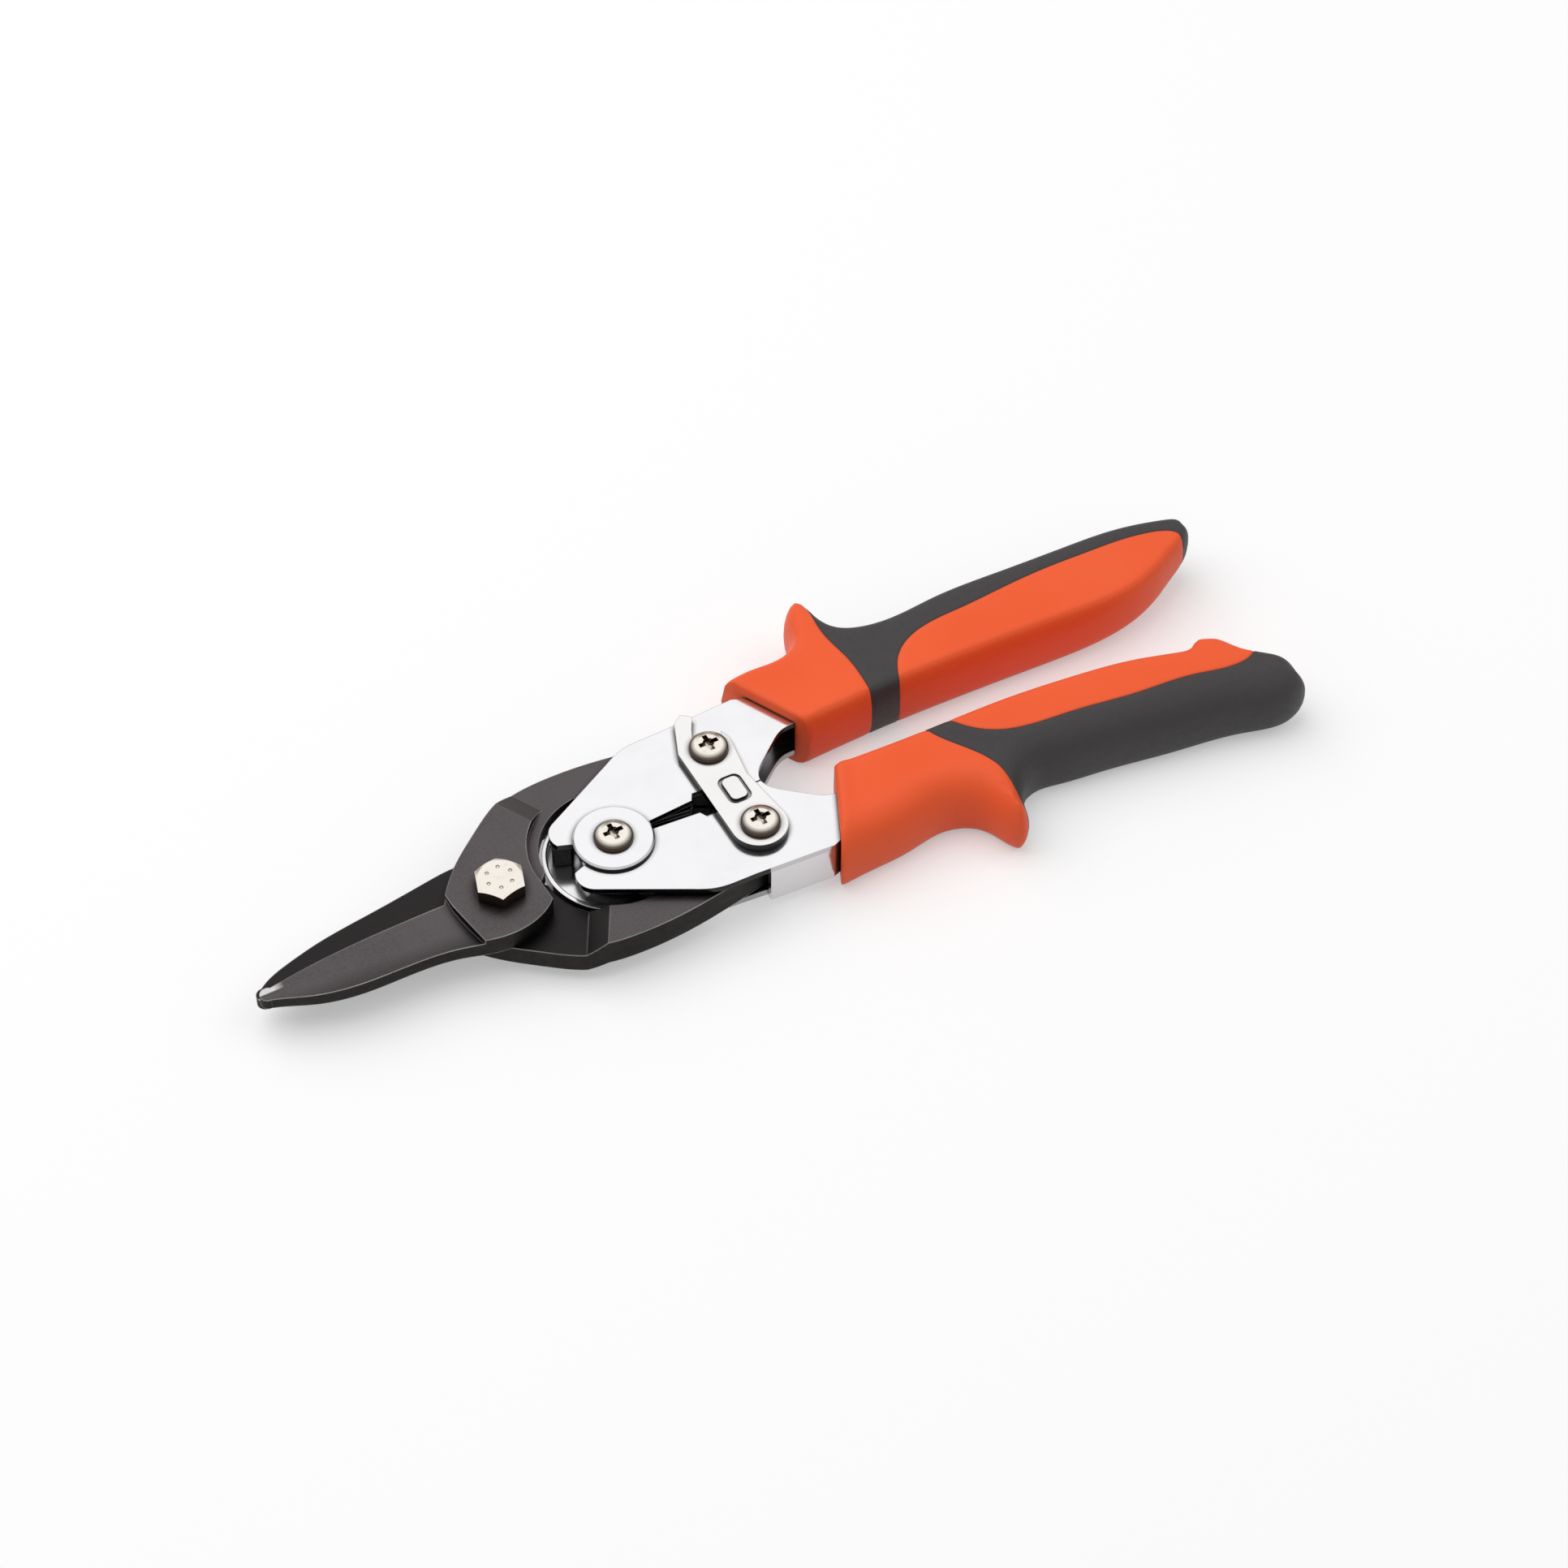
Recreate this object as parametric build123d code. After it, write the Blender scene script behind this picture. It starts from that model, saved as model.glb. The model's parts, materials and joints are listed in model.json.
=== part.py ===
"""Aviation snips: compound-action sheet metal shears with a thumb latch and two-colour grips.

Frame: +X runs along the tool from the jaws to the grips, +Y is the side of handle A, +Z is up.
The pieces are laid out about the centre pivot, with the lap plane of the blades at z = 0.
place() then moves them so that the origin lies under the middle of the tool, on its resting plane.
Side B is side A turned half a turn about X.  All lengths are in millimetres, angles in degrees.
"""

import os
from math import atan2, cos, degrees, pi, radians, sin

from build123d import *

# ---- linkage ---------------------------------------------------------------------------------
centre_to_bolt = 28.0  # centre pivot to blade bolt, handles closed
tail_x = 30.4  # centre pivot to the tail screws, along the tool
tail_y = 12.4  # centre pivot to the tail screws, across the tool
handle_travel = 40.0  # full opening between the handles
bolt_to_tip = 58.5
centre_to_grip_end = 163.5

# ---- clearances ------------------------------------------------------------------------------
slide_gap = 0.05  # between flat faces that slide or are clamped together
running_fit = 0.05  # radial, pin in bore
seat_gap = 0.05  # radial, fixed pieces in their holes
lap_play = 0.38  # radial, blade bolt in the upper blade: the play of the closed linkage
stop_gap = 0.15  # each side of the plane where the closed handles meet

# ---- thicknesses and levels ------------------------------------------------------------------
sheet = 1.5  # handle frame sheet
frame_half = 5.5  # half the overall thickness of a handle frame
tail_half = 3.4  # half the thickness of a blade tail
boss_top = 5.0  # blade boss above the lap plane
jaw_top = 3.9  # jaw face above the lap plane
latch_plate = 1.9
washer_thick = 1.1
screw_head_high = 2.0
nut_high = 3.5
rest_level = boss_top + nut_high  # depth of the resting plane below the lap plane
plate_under = frame_half - sheet  # inner face of the outer plates
ear_top = plate_under - slide_gap  # outer face of the nested ears
ear_under = ear_top - sheet  # inner face of the nested ears
latch_under = frame_half + slide_gap
latch_top = latch_under + latch_plate

# ---- centre pivot ----------------------------------------------------------------------------
barrel_r = 4.0
barrel_flange_r = 5.6
barrel_flange_high = 1.4
centre_shank_r = 2.5
centre_head_r = 4.5
washer_r = 9.2
outer_ear_r = 8.3  # ear of frame A
nested_ear_r = 10.8  # ear of frame B, pressed one sheet inwards
ear_gap = 0.3
nose_r = 14.2
nose_gap_angle = handle_travel / 2 + 0.6  # each side of the centre line
cup_r = 16.2
cup_wall = 1.2
cup_floor = 0.8
cup_rim_top = 0.9
spring_wire = 1.5
spring_r = 6.4  # to the centre of the wire
spring_leg_angle = 85.0  # where the lower leg leaves the coil
spring_pitch = 1.04  # in wire thicknesses
leg_elbow = (21.0, 4.4)
leg_end = (22.6, 6.4)
washer_chamfer = 0.4

pad_inner_r = 9.6  # stop pad under the nose of frame A
pad_clear = 1.0  # from the wall of the spring cup
pad_outer_r = cup_r - cup_wall - pad_clear
pad_angle = 26.0  # how far it reaches under the nose

# ---- tail pivots -----------------------------------------------------------------------------
neck_r = 3.0  # shoulder of the screw, which the latch turns on
tail_shank_r = 2.0
tail_head_r = 4.5
sleeve_flange_r = 4.5
sleeve_flange_high = 1.6
bush_wall = 1.4
eye_r = 7.6
tail_washer_r = 6.8

recess_deep = 1.3  # cruciform recess of the screws
recess_long = 4.6
recess_wide = 1.1
recess_hub_r = 1.3
recess_tip_r = 0.5
recess_skin = 0.01  # the recess starts this far above the head
flange_chamfer = 0.5

# ---- blade bolt ------------------------------------------------------------------------------
bolt_r = 4.0
hex_flats = 10.4
head_high = 3.8
bolt_thread_r = 3.0
bolt_turn = 12.0  # of its flats, about its axis
bolt_step = 1.0  # the shank ends this far above the nut
thread_short = 0.6  # of the face of the nut
dimple_r = 0.45
dimple_ring_r = 3.0

# ---- blades ----------------------------------------------------------------------------------
ramp_turn = 29.0  # the step between boss and tail, turned from straight across
ramp_start = -5.0  # measured from the centre pivot along the turned direction
ramp_end = -0.2
scoop_clear = 0.6  # between the hollow of the blades and the spring cup
tail_arc_r = cup_r + scoop_clear  # about the centre pivot
ledge_wide = 2.6  # tail-level metal between the hollow and the boss
boss_arc_r = tail_arc_r + ledge_wide
jaw_hollow_r = 26.0
jaw_hollow_deep = 1.1
edge_past_axis = 1.6  # each cutting edge passes the centre line by this much when closed
ledge_foot_out = 1.3  # the blade steps out this far below the boss arc
ledge_top_angle = 186.0  # where the step starts, seen from the centre pivot
ledge_foot_angle = 203.0
scoop_start = 97.0  # the hollow round the centre pivot, from tail to boss
scoop_stop = 178.0
scoop_foot = (12.5, 12.6)  # where the hollow runs out under the tail
eye_lean = 14.0  # the back of the tail meets the eye this far past its side
eye_under = 30.0
tail_back = ((9.5, 24.0), (-6.0, 24.9), (-17.5, 22.8))  # from the centre pivot
boss_front = ((-2.0, 17.2), (6.2, 10.4), (12.6, 2.5))  # ahead of the bolt, and from the centre line
edge_bow = 0.9  # the edge stands this much prouder next to the boss
edge_bow_end = 27.0  # ahead of the bolt
edge_straight_end = 45.0
tip_top = (3.0, 0.2)  # behind the tip, and from the centre line
tip_nose = (0.0, -1.2)
tip_under = (1.9, -3.0)
jaw_root = (11.5, 0.6)  # corner of the step down to the jaw face, ahead of the bolt
jaw_root_skew = 0.4
jaw_root_back = 9.0
hollow_middle = (32.0, -2.9)  # a point over the bottom of the hollow, ahead of the bolt
hollow_turn = 3.94  # the hollow runs this far off the tool axis
# back of each jaw: distance ahead of the bolt, and width from the centre line
upper_back = ((53.5, 4.2), (48.5, 6.4), (39.0, 8.7), (25.0, 9.1), (14.0, 10.4), (7.5, 12.3), (-1.0, 12.4))
lower_back = ((53.5, 4.9), (48.5, 6.7), (40.0, 8.9), (26.0, 11.0), (13.0, 13.0), (4.0, 13.9), (-3.0, 12.6))

# ---- handle frames ---------------------------------------------------------------------------
# points are from the centre pivot, on side A
plate_shoulder = ((8.6, 20.6), (13.2, 22.8), (24.0, 23.6))  # outer side, behind the nose
shoulder_start = (8.9, 5.2)  # direction at its front end
throat = ((45.0, 8.9), (40.3, 5.0))  # from the mouth of the grip to the centre line
throat_start_x = 50.8
throat_end_x = 37.0
slot_back_x = 27.4  # the slot along the centre line widens to a notch
notch_back = (26.6, 3.6)
notch_front = (21.6, 3.8)
notch_neck = (20.6, 2.0)
slot_half = 1.1
ear_bite = 0.8  # overlap of the plates with their ears
nose_fall = 1.6  # the nose corner is rounded by this much
nose_round_angle = 9.0
nose_top_angle = 26.0
nose_top_out = 0.4
web_start = 27.0
trim_line = ((-12.0, 17.0), (8.6, 18.8), (14.0, 21.0), (27.0, 22.0))  # edge of the lower plates

# ---- grips -----------------------------------------------------------------------------------
grip_half = rest_level
grip_round = 3.0
grip_front = 42.6  # outer corner of the mouth
grip_inner_front = 53.8  # inner corner of the mouth
palm_inner_y = 8.4  # grip A, towards the other handle
palm_outer_y = 30.4
palm_horn_x = 68.8
palm_horn_y = 44.1
finger_inner_y = 4.3  # grip B
finger_outer_y = 25.6
finger_horn_x = 82.8
finger_horn_y = 38.6
finger_end_y = 35.6  # grip B flares outwards towards its end
core_cover = 2.2  # overmould thickness over the hidden part of the core
palm_seam_x = 70.8  # where the front block ends and the overmould begins, at the inner side
finger_seam_x = 77.0
palm_band = 7.8  # overmould band between the front block and the inner panel
finger_band = 6.2
palm_panel_y = 20.4  # outer border of the inner panel, near its front
finger_panel_y = 19.4
panel_back = 157.0
tang_end = 118.0
tang_inner_y = 11.4
tang_outer_y = 21.6
tang_step = 8.0  # the frame narrows to its tang over this length, inside the mouth
frame_outer_y = 24.6  # where the frame enters the mouth of the grip
nub_x = 147.0
nub_r = 3.4
nub_half = 4.6
nub_from_inner = 10.0  # its centre, from the straight inner side of grip B
side_reach = 8.0  # zone outlines run this far past the sides of the grips
tongue_play = 1.6  # core left between the tang and the overmould, at the inner side
tongue_cover = 0.6  # the same at the outer side
tongue_end = 3.0  # core beyond the end of the tang

# ---- latch -----------------------------------------------------------------------------------
latch_end_r = 6.2  # back edge of its round end, from the line through the tail screws
latch_left = 6.9  # front edge, from the same line
latch_ratio = 0.9  # latch turn for each degree of handle travel
latch_tab = ((-6.9, 1.6), (-3.4, 10.4), (-1.0, 12.0), (2.85, 8.8), (5.8, 1.0))  # from screw A
latch_waist = ((4.2, 2.0), (5.0, -4.0))  # behind the line of the screws, and across
notch_steps = 25  # one for each degree that the neck travels in the notch
pad_middle = (-0.4, -0.9)
pad_long = 6.8
pad_wide = 4.2
pad_high = 0.5
pad_corner_r = 1.43
pad_groove = 0.7
pad_groove_deep = 0.45

shift_x = (centre_to_bolt + bolt_to_tip - centre_to_grip_end) / 2
shift_y = (finger_horn_y - palm_horn_y) / 2
bolt_x = -centre_to_bolt
tip_x = -(centre_to_bolt + bolt_to_tip)
tail_radius = (tail_x**2 + tail_y**2) ** 0.5


def disc(radius, low, high, x=0.0, y=0.0):
    """Upright cylinder between two levels."""
    return Pos(x, y, low) * Cylinder(radius, high - low, align=(Align.CENTER, Align.CENTER, Align.MIN))


def slab(outline, low, high):
    """Plan outline, made at z = 0, extruded between two levels."""
    return Pos(0, 0, low) * extrude(outline, amount=high - low, dir=(0, 0, 1))


def closed(*edges):
    """Plan face inside a closed chain of edges."""
    return make_face(Wire(list(edges)))


def polygon(*points):
    return make_face(Polyline(*points, close=True))


def polar(radius, angle):
    return (radius * cos(radians(angle)), radius * sin(radians(angle)))


def side_b(solid):
    """Half a turn about the tool axis: side A to side B, top to underside."""
    return Rot(180, 0, 0) * solid


def mirrored(solid):
    """Reflection across the tool axis, which keeps the top on top."""
    return mirror(solid, about=Plane.XZ)


# ---- blades ----------------------------------------------------------------------------------
def blade_outline(back_points):
    """Plan of the upper blade: jaw on side B, boss about the bolt, tail to side A."""
    eye_top = (tail_x + eye_r * sin(radians(eye_lean)), tail_y + eye_r * cos(radians(eye_lean)))
    eye_low = (tail_x - eye_r * sin(radians(eye_under)), tail_y - eye_r * cos(radians(eye_under)))
    eye_far = (tail_x + eye_r, tail_y)
    arc_start = polar(tail_arc_r, scoop_start)
    arc_mid = polar(tail_arc_r, (scoop_start + scoop_stop) / 2)
    arc_stop = polar(tail_arc_r, scoop_stop)
    step = polar(boss_arc_r, ledge_top_angle)
    step_low = polar(boss_arc_r + ledge_foot_out, ledge_foot_angle)
    front = [(bolt_x - reach, across) for reach, across in boss_front]
    outer = Spline(eye_top, *tail_back, *front)
    edge = Spline(
        outer @ 1,
        (bolt_x - edge_bow_end, edge_past_axis + edge_bow),
        (bolt_x - edge_straight_end, edge_past_axis),
        (tip_x + tip_top[0], tip_top[1]),
    )
    nose = (tip_x + tip_nose[0], tip_nose[1])
    tip = ThreePointArc(edge @ 1, nose, (tip_x + tip_under[0], tip_under[1]))
    back = Spline(tip @ 1, *((bolt_x - reach, -wide) for reach, wide in back_points), step_low)
    rise = Line(back @ 1, step)
    link = Line(rise @ 1, arc_stop)
    inner = ThreePointArc(arc_stop, arc_mid, arc_start)
    under = Spline(arc_start, scoop_foot, eye_low, tangents=[(1, 0.1), (0.9, -0.5)])
    eye = ThreePointArc(eye_low, eye_far, eye_top)
    return closed(outer, edge, tip, back, rise, link, inner, under, eye)


def blade_section():
    """Side profile of a blade, which steps from the half-lap boss to the full-thickness tail."""
    far = 2 * centre_to_grip_end
    profile = Plane.XZ * make_face(
        Polyline(
            (-far, 0),
            (ramp_start, 0),
            (ramp_end, -tail_half),
            (far, -tail_half),
            (far, tail_half),
            (ramp_end, tail_half),
            (ramp_start, boss_top),
            (-far, boss_top),
            close=True,
        )
    )
    return Rot(0, 0, ramp_turn) * extrude(profile, amount=far, both=True)


def blade(bolt_hole_r, back_points):
    outline = blade_outline(back_points)
    body = slab(outline, -tail_half, boss_top) & blade_section()
    # the tail level also shows as a ledge inside the boss, where the frames turn
    body = body - disc(boss_arc_r, tail_half, boss_top + 1)
    # the jaw lies a little lower than the boss and is hollow ground along its length
    root = (bolt_x - jaw_root[0], jaw_root[1])
    side = nose_r
    jaw_zone = polygon(
        (root[0] - jaw_root_skew, side),
        root,
        (bolt_x - jaw_root_back, -side),
        (2 * tip_x, -side),
        (2 * tip_x, side),
    )
    body = body - slab(jaw_zone, jaw_top, boss_top + 1)
    axis_z = jaw_top - jaw_hollow_deep + jaw_hollow_r
    trough = Cylinder(jaw_hollow_r, 2 * bolt_to_tip, rotation=(0, 90, 0))
    middle = Pos(bolt_x - hollow_middle[0], hollow_middle[1], axis_z)
    trough = middle * Rot(0, 0, -hollow_turn) * trough
    body = body - (trough & slab(jaw_zone, 0, 3 * boss_top))
    body = body - disc(bolt_hole_r, -1, boss_top + 1, bolt_x, 0)
    tail_bore_r = neck_r + seat_gap + bush_wall + running_fit
    return body - disc(tail_bore_r, -tail_half - 1, tail_half + 1, tail_x, tail_y)


def upper_blade():
    return blade(bolt_r + lap_play, upper_back)


def lower_blade():
    return side_b(blade(bolt_r + seat_gap, lower_back))


# ---- handle frames ---------------------------------------------------------------------------
def plate_outline(ear_radius):
    """Plan of one plate of a handle frame on side A, from its nose to the end of its tang."""
    edge_angle = 180 - nose_gap_angle
    root = polar(ear_radius - ear_bite, edge_angle)
    nose_low = polar(nose_r - nose_fall, edge_angle)
    nose_mid = polar(nose_r, edge_angle - nose_round_angle)
    nose_top = polar(nose_r + nose_top_out, edge_angle - nose_top_angle)
    radial = Line(root, nose_low)
    nose = ThreePointArc(nose_low, nose_mid, nose_top)
    flank = Line(nose_top, plate_shoulder[0])
    shoulder = Spline(*plate_shoulder, tangents=[shoulder_start, (1, 0.05)])
    outer = Line(plate_shoulder[-1], (grip_front, frame_outer_y))
    tang = Polyline(
        (grip_front, frame_outer_y),
        (grip_front + tang_step, tang_outer_y),
        (tang_end, tang_outer_y),
        (tang_end, tang_inner_y),
        (throat_start_x, tang_inner_y),
    )
    inner = Spline(
        (throat_start_x, tang_inner_y),
        *throat,
        (throat_end_x, stop_gap),
        tangents=[(-1, 0), (-0.2, -1)],
    )
    slot = Polyline(
        (throat_end_x, stop_gap),
        (slot_back_x, stop_gap),
        notch_back,
        notch_front,
        notch_neck,
        (ear_radius - ear_bite, slot_half),
        root,
    )
    return closed(radial, nose, flank, shoulder, outer, *tang.edges(), inner, *slot.edges())


def web():
    """Outer side wall of a frame, from ahead of the grip to the end of the tang."""
    back_x, back_y = plate_shoulder[-1]
    rise = (frame_outer_y - back_y) / (grip_front - back_x)
    y_start = back_y + rise * (web_start - back_x)
    wall = polygon(
        (web_start, y_start - sheet),
        (web_start, y_start),
        (grip_front, frame_outer_y),
        (grip_front + tang_step, tang_outer_y),
        (tang_end, tang_outer_y),
        (tang_end, tang_outer_y - sheet),
        (grip_front + tang_step, tang_outer_y - sheet),
        (grip_front, frame_outer_y - sheet),
    )
    return slab(wall, -plate_under, plate_under)


def lower_trim():
    """Space taken off the outer edge of a lower plate, ahead of the web."""
    beyond = 2 * frame_outer_y
    plan = polygon((trim_line[0][0], beyond), *trim_line, (trim_line[-1][0], beyond))
    return slab(plan, -frame_half - 1, -plate_under + 1)


def tail_holes():
    return disc(neck_r + seat_gap, -frame_half - 1, frame_half + 1, tail_x, tail_y)


def frame_a():
    """Channel whose two outer plates carry the ears that turn on the centre barrel."""
    plates = None
    for low in (-frame_half, plate_under):
        plate = slab(plate_outline(outer_ear_r), low, low + sheet) + disc(outer_ear_r, low, low + sheet)
        plates = plate if plates is None else plates + plate
    body = plates - lower_trim() + web()
    body = body - disc(barrel_r + running_fit, -frame_half - 1, frame_half + 1)
    return body - tail_holes()


def frame_b():
    """Channel whose ears are pressed in by one sheet, so that they nest inside frame A's."""
    body = web()
    plan = plate_outline(outer_ear_r)
    for low, ear_low in ((plate_under, ear_under), (-frame_half, -ear_top)):
        plate = slab(plan, low, low + sheet)
        plate = plate - disc(outer_ear_r + ear_gap, low - 1, low + sheet + 1)
        ear = disc(nested_ear_r, ear_low, ear_low + sheet) & slab(plan, ear_low, ear_low + sheet)
        ear = ear + disc(outer_ear_r, ear_low, ear_low + sheet)
        joggle_low = min(low, ear_low)
        joggle_high = max(low, ear_low) + sheet
        joggle = disc(nested_ear_r, joggle_low, joggle_high) - disc(
            outer_ear_r + ear_gap, joggle_low - 1, joggle_high + 1
        )
        joggle = joggle & slab(plan, joggle_low, joggle_high)
        body = body + plate + ear + joggle
    body = body - lower_trim() - disc(barrel_r + seat_gap, -frame_half - 1, frame_half + 1)
    body = body - tail_holes()
    return mirrored(body)


# ---- fasteners -------------------------------------------------------------------------------
def cross_recess(top):
    """Tapered cruciform recess of a pan head screw."""
    hanging = (Align.CENTER, Align.CENTER, Align.MAX)
    wing = Box(recess_long, recess_wide, recess_deep, align=hanging)
    hub = Cone(recess_tip_r, recess_hub_r, recess_deep, align=hanging)
    return Pos(0, 0, top + recess_skin) * (wing + Rot(0, 0, 90) * wing + hub)


def pan_head(radius, low):
    """Domed pan head on a short straight rim, with a cruciform recess."""
    rim = 0.2 * screw_head_high
    dome = Spline(
        (radius, rim),
        (0.90 * radius, 0.60 * screw_head_high),
        (0.62 * radius, 0.90 * screw_head_high),
        (0, screw_head_high),
        tangents=[(0, 1), (-1, 0)],
    )
    base = Polyline((0, screw_head_high), (0, 0), (radius, 0), (radius, rim))
    head = revolve(Plane.XZ * closed(dome, *base.edges()), Axis.Z)
    return Pos(0, 0, low) * head - cross_recess(low + screw_head_high)


def tail_screw():
    """Screw whose shoulder carries or catches the latch."""
    neck_top = latch_top + slide_gap
    body = pan_head(tail_head_r, neck_top)
    body = body + disc(neck_r, frame_half, neck_top)
    body = body + disc(tail_shank_r, -plate_under, frame_half)
    return Pos(tail_x, tail_y, 0) * body


def tail_sleeve():
    """Threaded sleeve, flanged below, that draws the frame together through the blade tail."""
    body = disc(sleeve_flange_r, -frame_half - sleeve_flange_high, -frame_half)
    rim = body.edges().filter_by(GeomType.CIRCLE).sort_by(Axis.Z)[0]
    body = chamfer(rim, flange_chamfer)
    body = body + disc(neck_r, -frame_half, frame_half - slide_gap)
    bore = disc(tail_shank_r + seat_gap, -plate_under - 1, frame_half + 1)
    return Pos(tail_x, tail_y, 0) * (body - bore)


def tail_bush():
    """Hardened bush between the frame plates, on which the blade tail turns."""
    inside = neck_r + seat_gap
    body = disc(inside + bush_wall, -ear_top, ear_top) - disc(inside, -ear_top - 1, ear_top + 1)
    return Pos(tail_x, tail_y, 0) * body


def tail_washers():
    """Two thrust washers that centre the tail between the frame plates."""
    inside = neck_r + seat_gap + bush_wall + seat_gap
    low = tail_half + slide_gap
    high = plate_under - slide_gap
    upper = disc(tail_washer_r, low, high) - disc(inside, low - 1, high + 1)
    lower = disc(tail_washer_r, -high, -low) - disc(inside, -high - 1, -low + 1)
    return Compound(children=[Pos(tail_x, tail_y, 0) * upper, Pos(tail_x, tail_y, 0) * lower])


def hexagon(flats, low, high):
    return slab(RegularPolygon(flats / 2, 6, major_radius=False), low, high)


def chamfered_hex(flats, low, high, top_side):
    """Hexagon with its corners turned off on one face."""
    outer_r = flats / 2 / cos(pi / 6)
    face_r = flats / 2 * 0.93
    high_run = (outer_r - face_r) * 0.6
    upright = (Align.CENTER, Align.CENTER, Align.MIN)
    if top_side:
        keep = disc(outer_r, low, high - high_run)
        keep = keep + Pos(0, 0, high - high_run) * Cone(outer_r, face_r, high_run, align=upright)
    else:
        keep = disc(outer_r, low + high_run, high)
        keep = keep + Pos(0, 0, low) * Cone(face_r, outer_r, high_run, align=upright)
    return hexagon(flats, low, high) & keep


def pivot_bolt():
    """Hex bolt on which the blades turn; its head bears on the upper blade."""
    head_low = boss_top + slide_gap
    head = chamfered_hex(hex_flats, head_low, head_low + head_high, True)
    for turn in range(6):
        dimple = Pos(*polar(dimple_ring_r, 60 * turn), head_low + head_high) * Sphere(dimple_r)
        head = head - dimple
    body = head + disc(bolt_r, -boss_top + bolt_step, head_low)
    body = body + disc(bolt_thread_r, -rest_level + thread_short, -boss_top + bolt_step)
    return Pos(bolt_x, 0, 0) * Rot(0, 0, bolt_turn) * body


def pivot_nut():
    """Low lock nut under the lower blade; its face is one of the resting faces."""
    body = chamfered_hex(hex_flats, -rest_level, -boss_top, False)
    body = body - disc(bolt_thread_r + seat_gap, -rest_level - 1, -boss_top + 1)
    return Pos(bolt_x, 0, 0) * Rot(0, 0, bolt_turn) * body


# ---- centre pivot ----------------------------------------------------------------------------
def centre_washer():
    """Broad bright washer with a stepped rim, over the ears of the frames."""
    low = frame_half + slide_gap
    body = disc(washer_r, low, low + washer_thick)
    rim = body.edges().filter_by(GeomType.CIRCLE).sort_by(Axis.Z)[-1]
    body = chamfer(rim, washer_chamfer)
    return body - disc(centre_shank_r + seat_gap, low - 1, low + washer_thick + 1)


def lower_washer():
    body = mirror(centre_washer(), about=Plane.XY)
    return body - disc(barrel_r + seat_gap, -frame_half - washer_thick - 1, 0)


def centre_screw():
    low = frame_half + slide_gap + washer_thick
    body = pan_head(centre_head_r, low)
    return body + disc(centre_shank_r, -plate_under, low)


def centre_barrel():
    """Flanged barrel nut that both frames turn on."""
    flange_top = -frame_half - slide_gap - washer_thick
    body = disc(barrel_flange_r, flange_top - barrel_flange_high, flange_top)
    rim = body.edges().filter_by(GeomType.CIRCLE).sort_by(Axis.Z)[0]
    body = chamfer(rim, washer_chamfer)
    body = body + disc(barrel_r, flange_top, frame_half)
    return body - disc(centre_shank_r + seat_gap, -plate_under - 1, frame_half + 1)


def spring_cup():
    """Bright dished plate between the ears that houses the spring."""
    low = -ear_under + slide_gap
    floor = disc(cup_r, low, low + cup_floor)
    rim = disc(cup_r, low, cup_rim_top) - disc(cup_r - cup_wall, low - 1, cup_rim_top + 1)
    body = floor + rim
    edge = body.edges().filter_by(GeomType.CIRCLE).sort_by(Axis.Z)[-1]
    body = fillet(edge, cup_wall * 0.3)
    # the rim is open to the rear, where the legs of the spring leave it
    upright = (Align.CENTER, Align.CENTER, Align.MIN)
    mouth = Pos(cup_r, 0, low + cup_floor) * Box(cup_r * 1.2, cup_r * 1.5, 2 * ear_under, align=upright)
    return body - mouth - disc(barrel_r + seat_gap, low - 1, cup_rim_top + 1)


def stop_pad():
    """Block under the nose of frame A, flush with its edge, that the other nose comes up to."""
    edge_angle = 180 - nose_gap_angle
    inner_start = polar(pad_inner_r, edge_angle)
    outer_start = polar(pad_outer_r - 0.6, edge_angle)
    outer_mid = polar(pad_outer_r, edge_angle - pad_angle / 2)
    outer_end = polar(pad_outer_r - 0.6, edge_angle - pad_angle)
    inner_end = polar(pad_inner_r, edge_angle - pad_angle)
    inner_mid = polar(pad_inner_r, edge_angle - pad_angle / 2)
    plan = closed(
        Line(inner_start, outer_start),
        ThreePointArc(outer_start, outer_mid, outer_end),
        Line(outer_end, inner_end),
        ThreePointArc(inner_end, inner_mid, inner_start),
    )
    return slab(plan, -ear_under + cup_floor + 2 * slide_gap, plate_under)


def spring_leg(start_angle, level, side):
    """Straight leg from the coil to the tail of one blade, with its end turned outwards."""
    start = polar(spring_r, start_angle)
    elbow = (leg_elbow[0], side * leg_elbow[1])
    end = (leg_end[0], side * leg_end[1])
    run = Line((start[0], start[1], level), (elbow[0], elbow[1], level))
    hook = Line((elbow[0], elbow[1], level), (end[0], end[1], level))
    wire_r = spring_wire / 2
    leg = Cylinder(wire_r, run.length, align=(Align.CENTER, Align.CENTER, Align.MIN))
    leg = Plane(origin=run @ 0, z_dir=run % 0) * leg
    turn = Cylinder(wire_r, hook.length, align=(Align.CENTER, Align.CENTER, Align.MIN))
    turn = Plane(origin=hook @ 0, z_dir=hook % 0) * turn
    for corner in (start, elbow):
        leg = leg + Pos(corner[0], corner[1], level) * Sphere(wire_r)
    return leg + turn


def return_spring():
    """Torsion spring about the barrel that pushes the blade tails apart."""
    pitch = spring_wire * spring_pitch
    low = -ear_under + slide_gap + cup_floor + slide_gap + spring_wire / 2
    turns = 1 + (360 - 2 * spring_leg_angle) / 360
    coil_path = Helix(pitch, pitch * turns, spring_r)
    section = Plane(origin=coil_path @ 0, z_dir=coil_path % 0) * Circle(spring_wire / 2)
    coil = sweep(section, path=coil_path)
    coil = Pos(0, 0, low) * Rot(0, 0, spring_leg_angle) * coil
    legs = spring_leg(spring_leg_angle, low, 1) + spring_leg(-spring_leg_angle, low + pitch * turns, -1)
    return coil + legs


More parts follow.
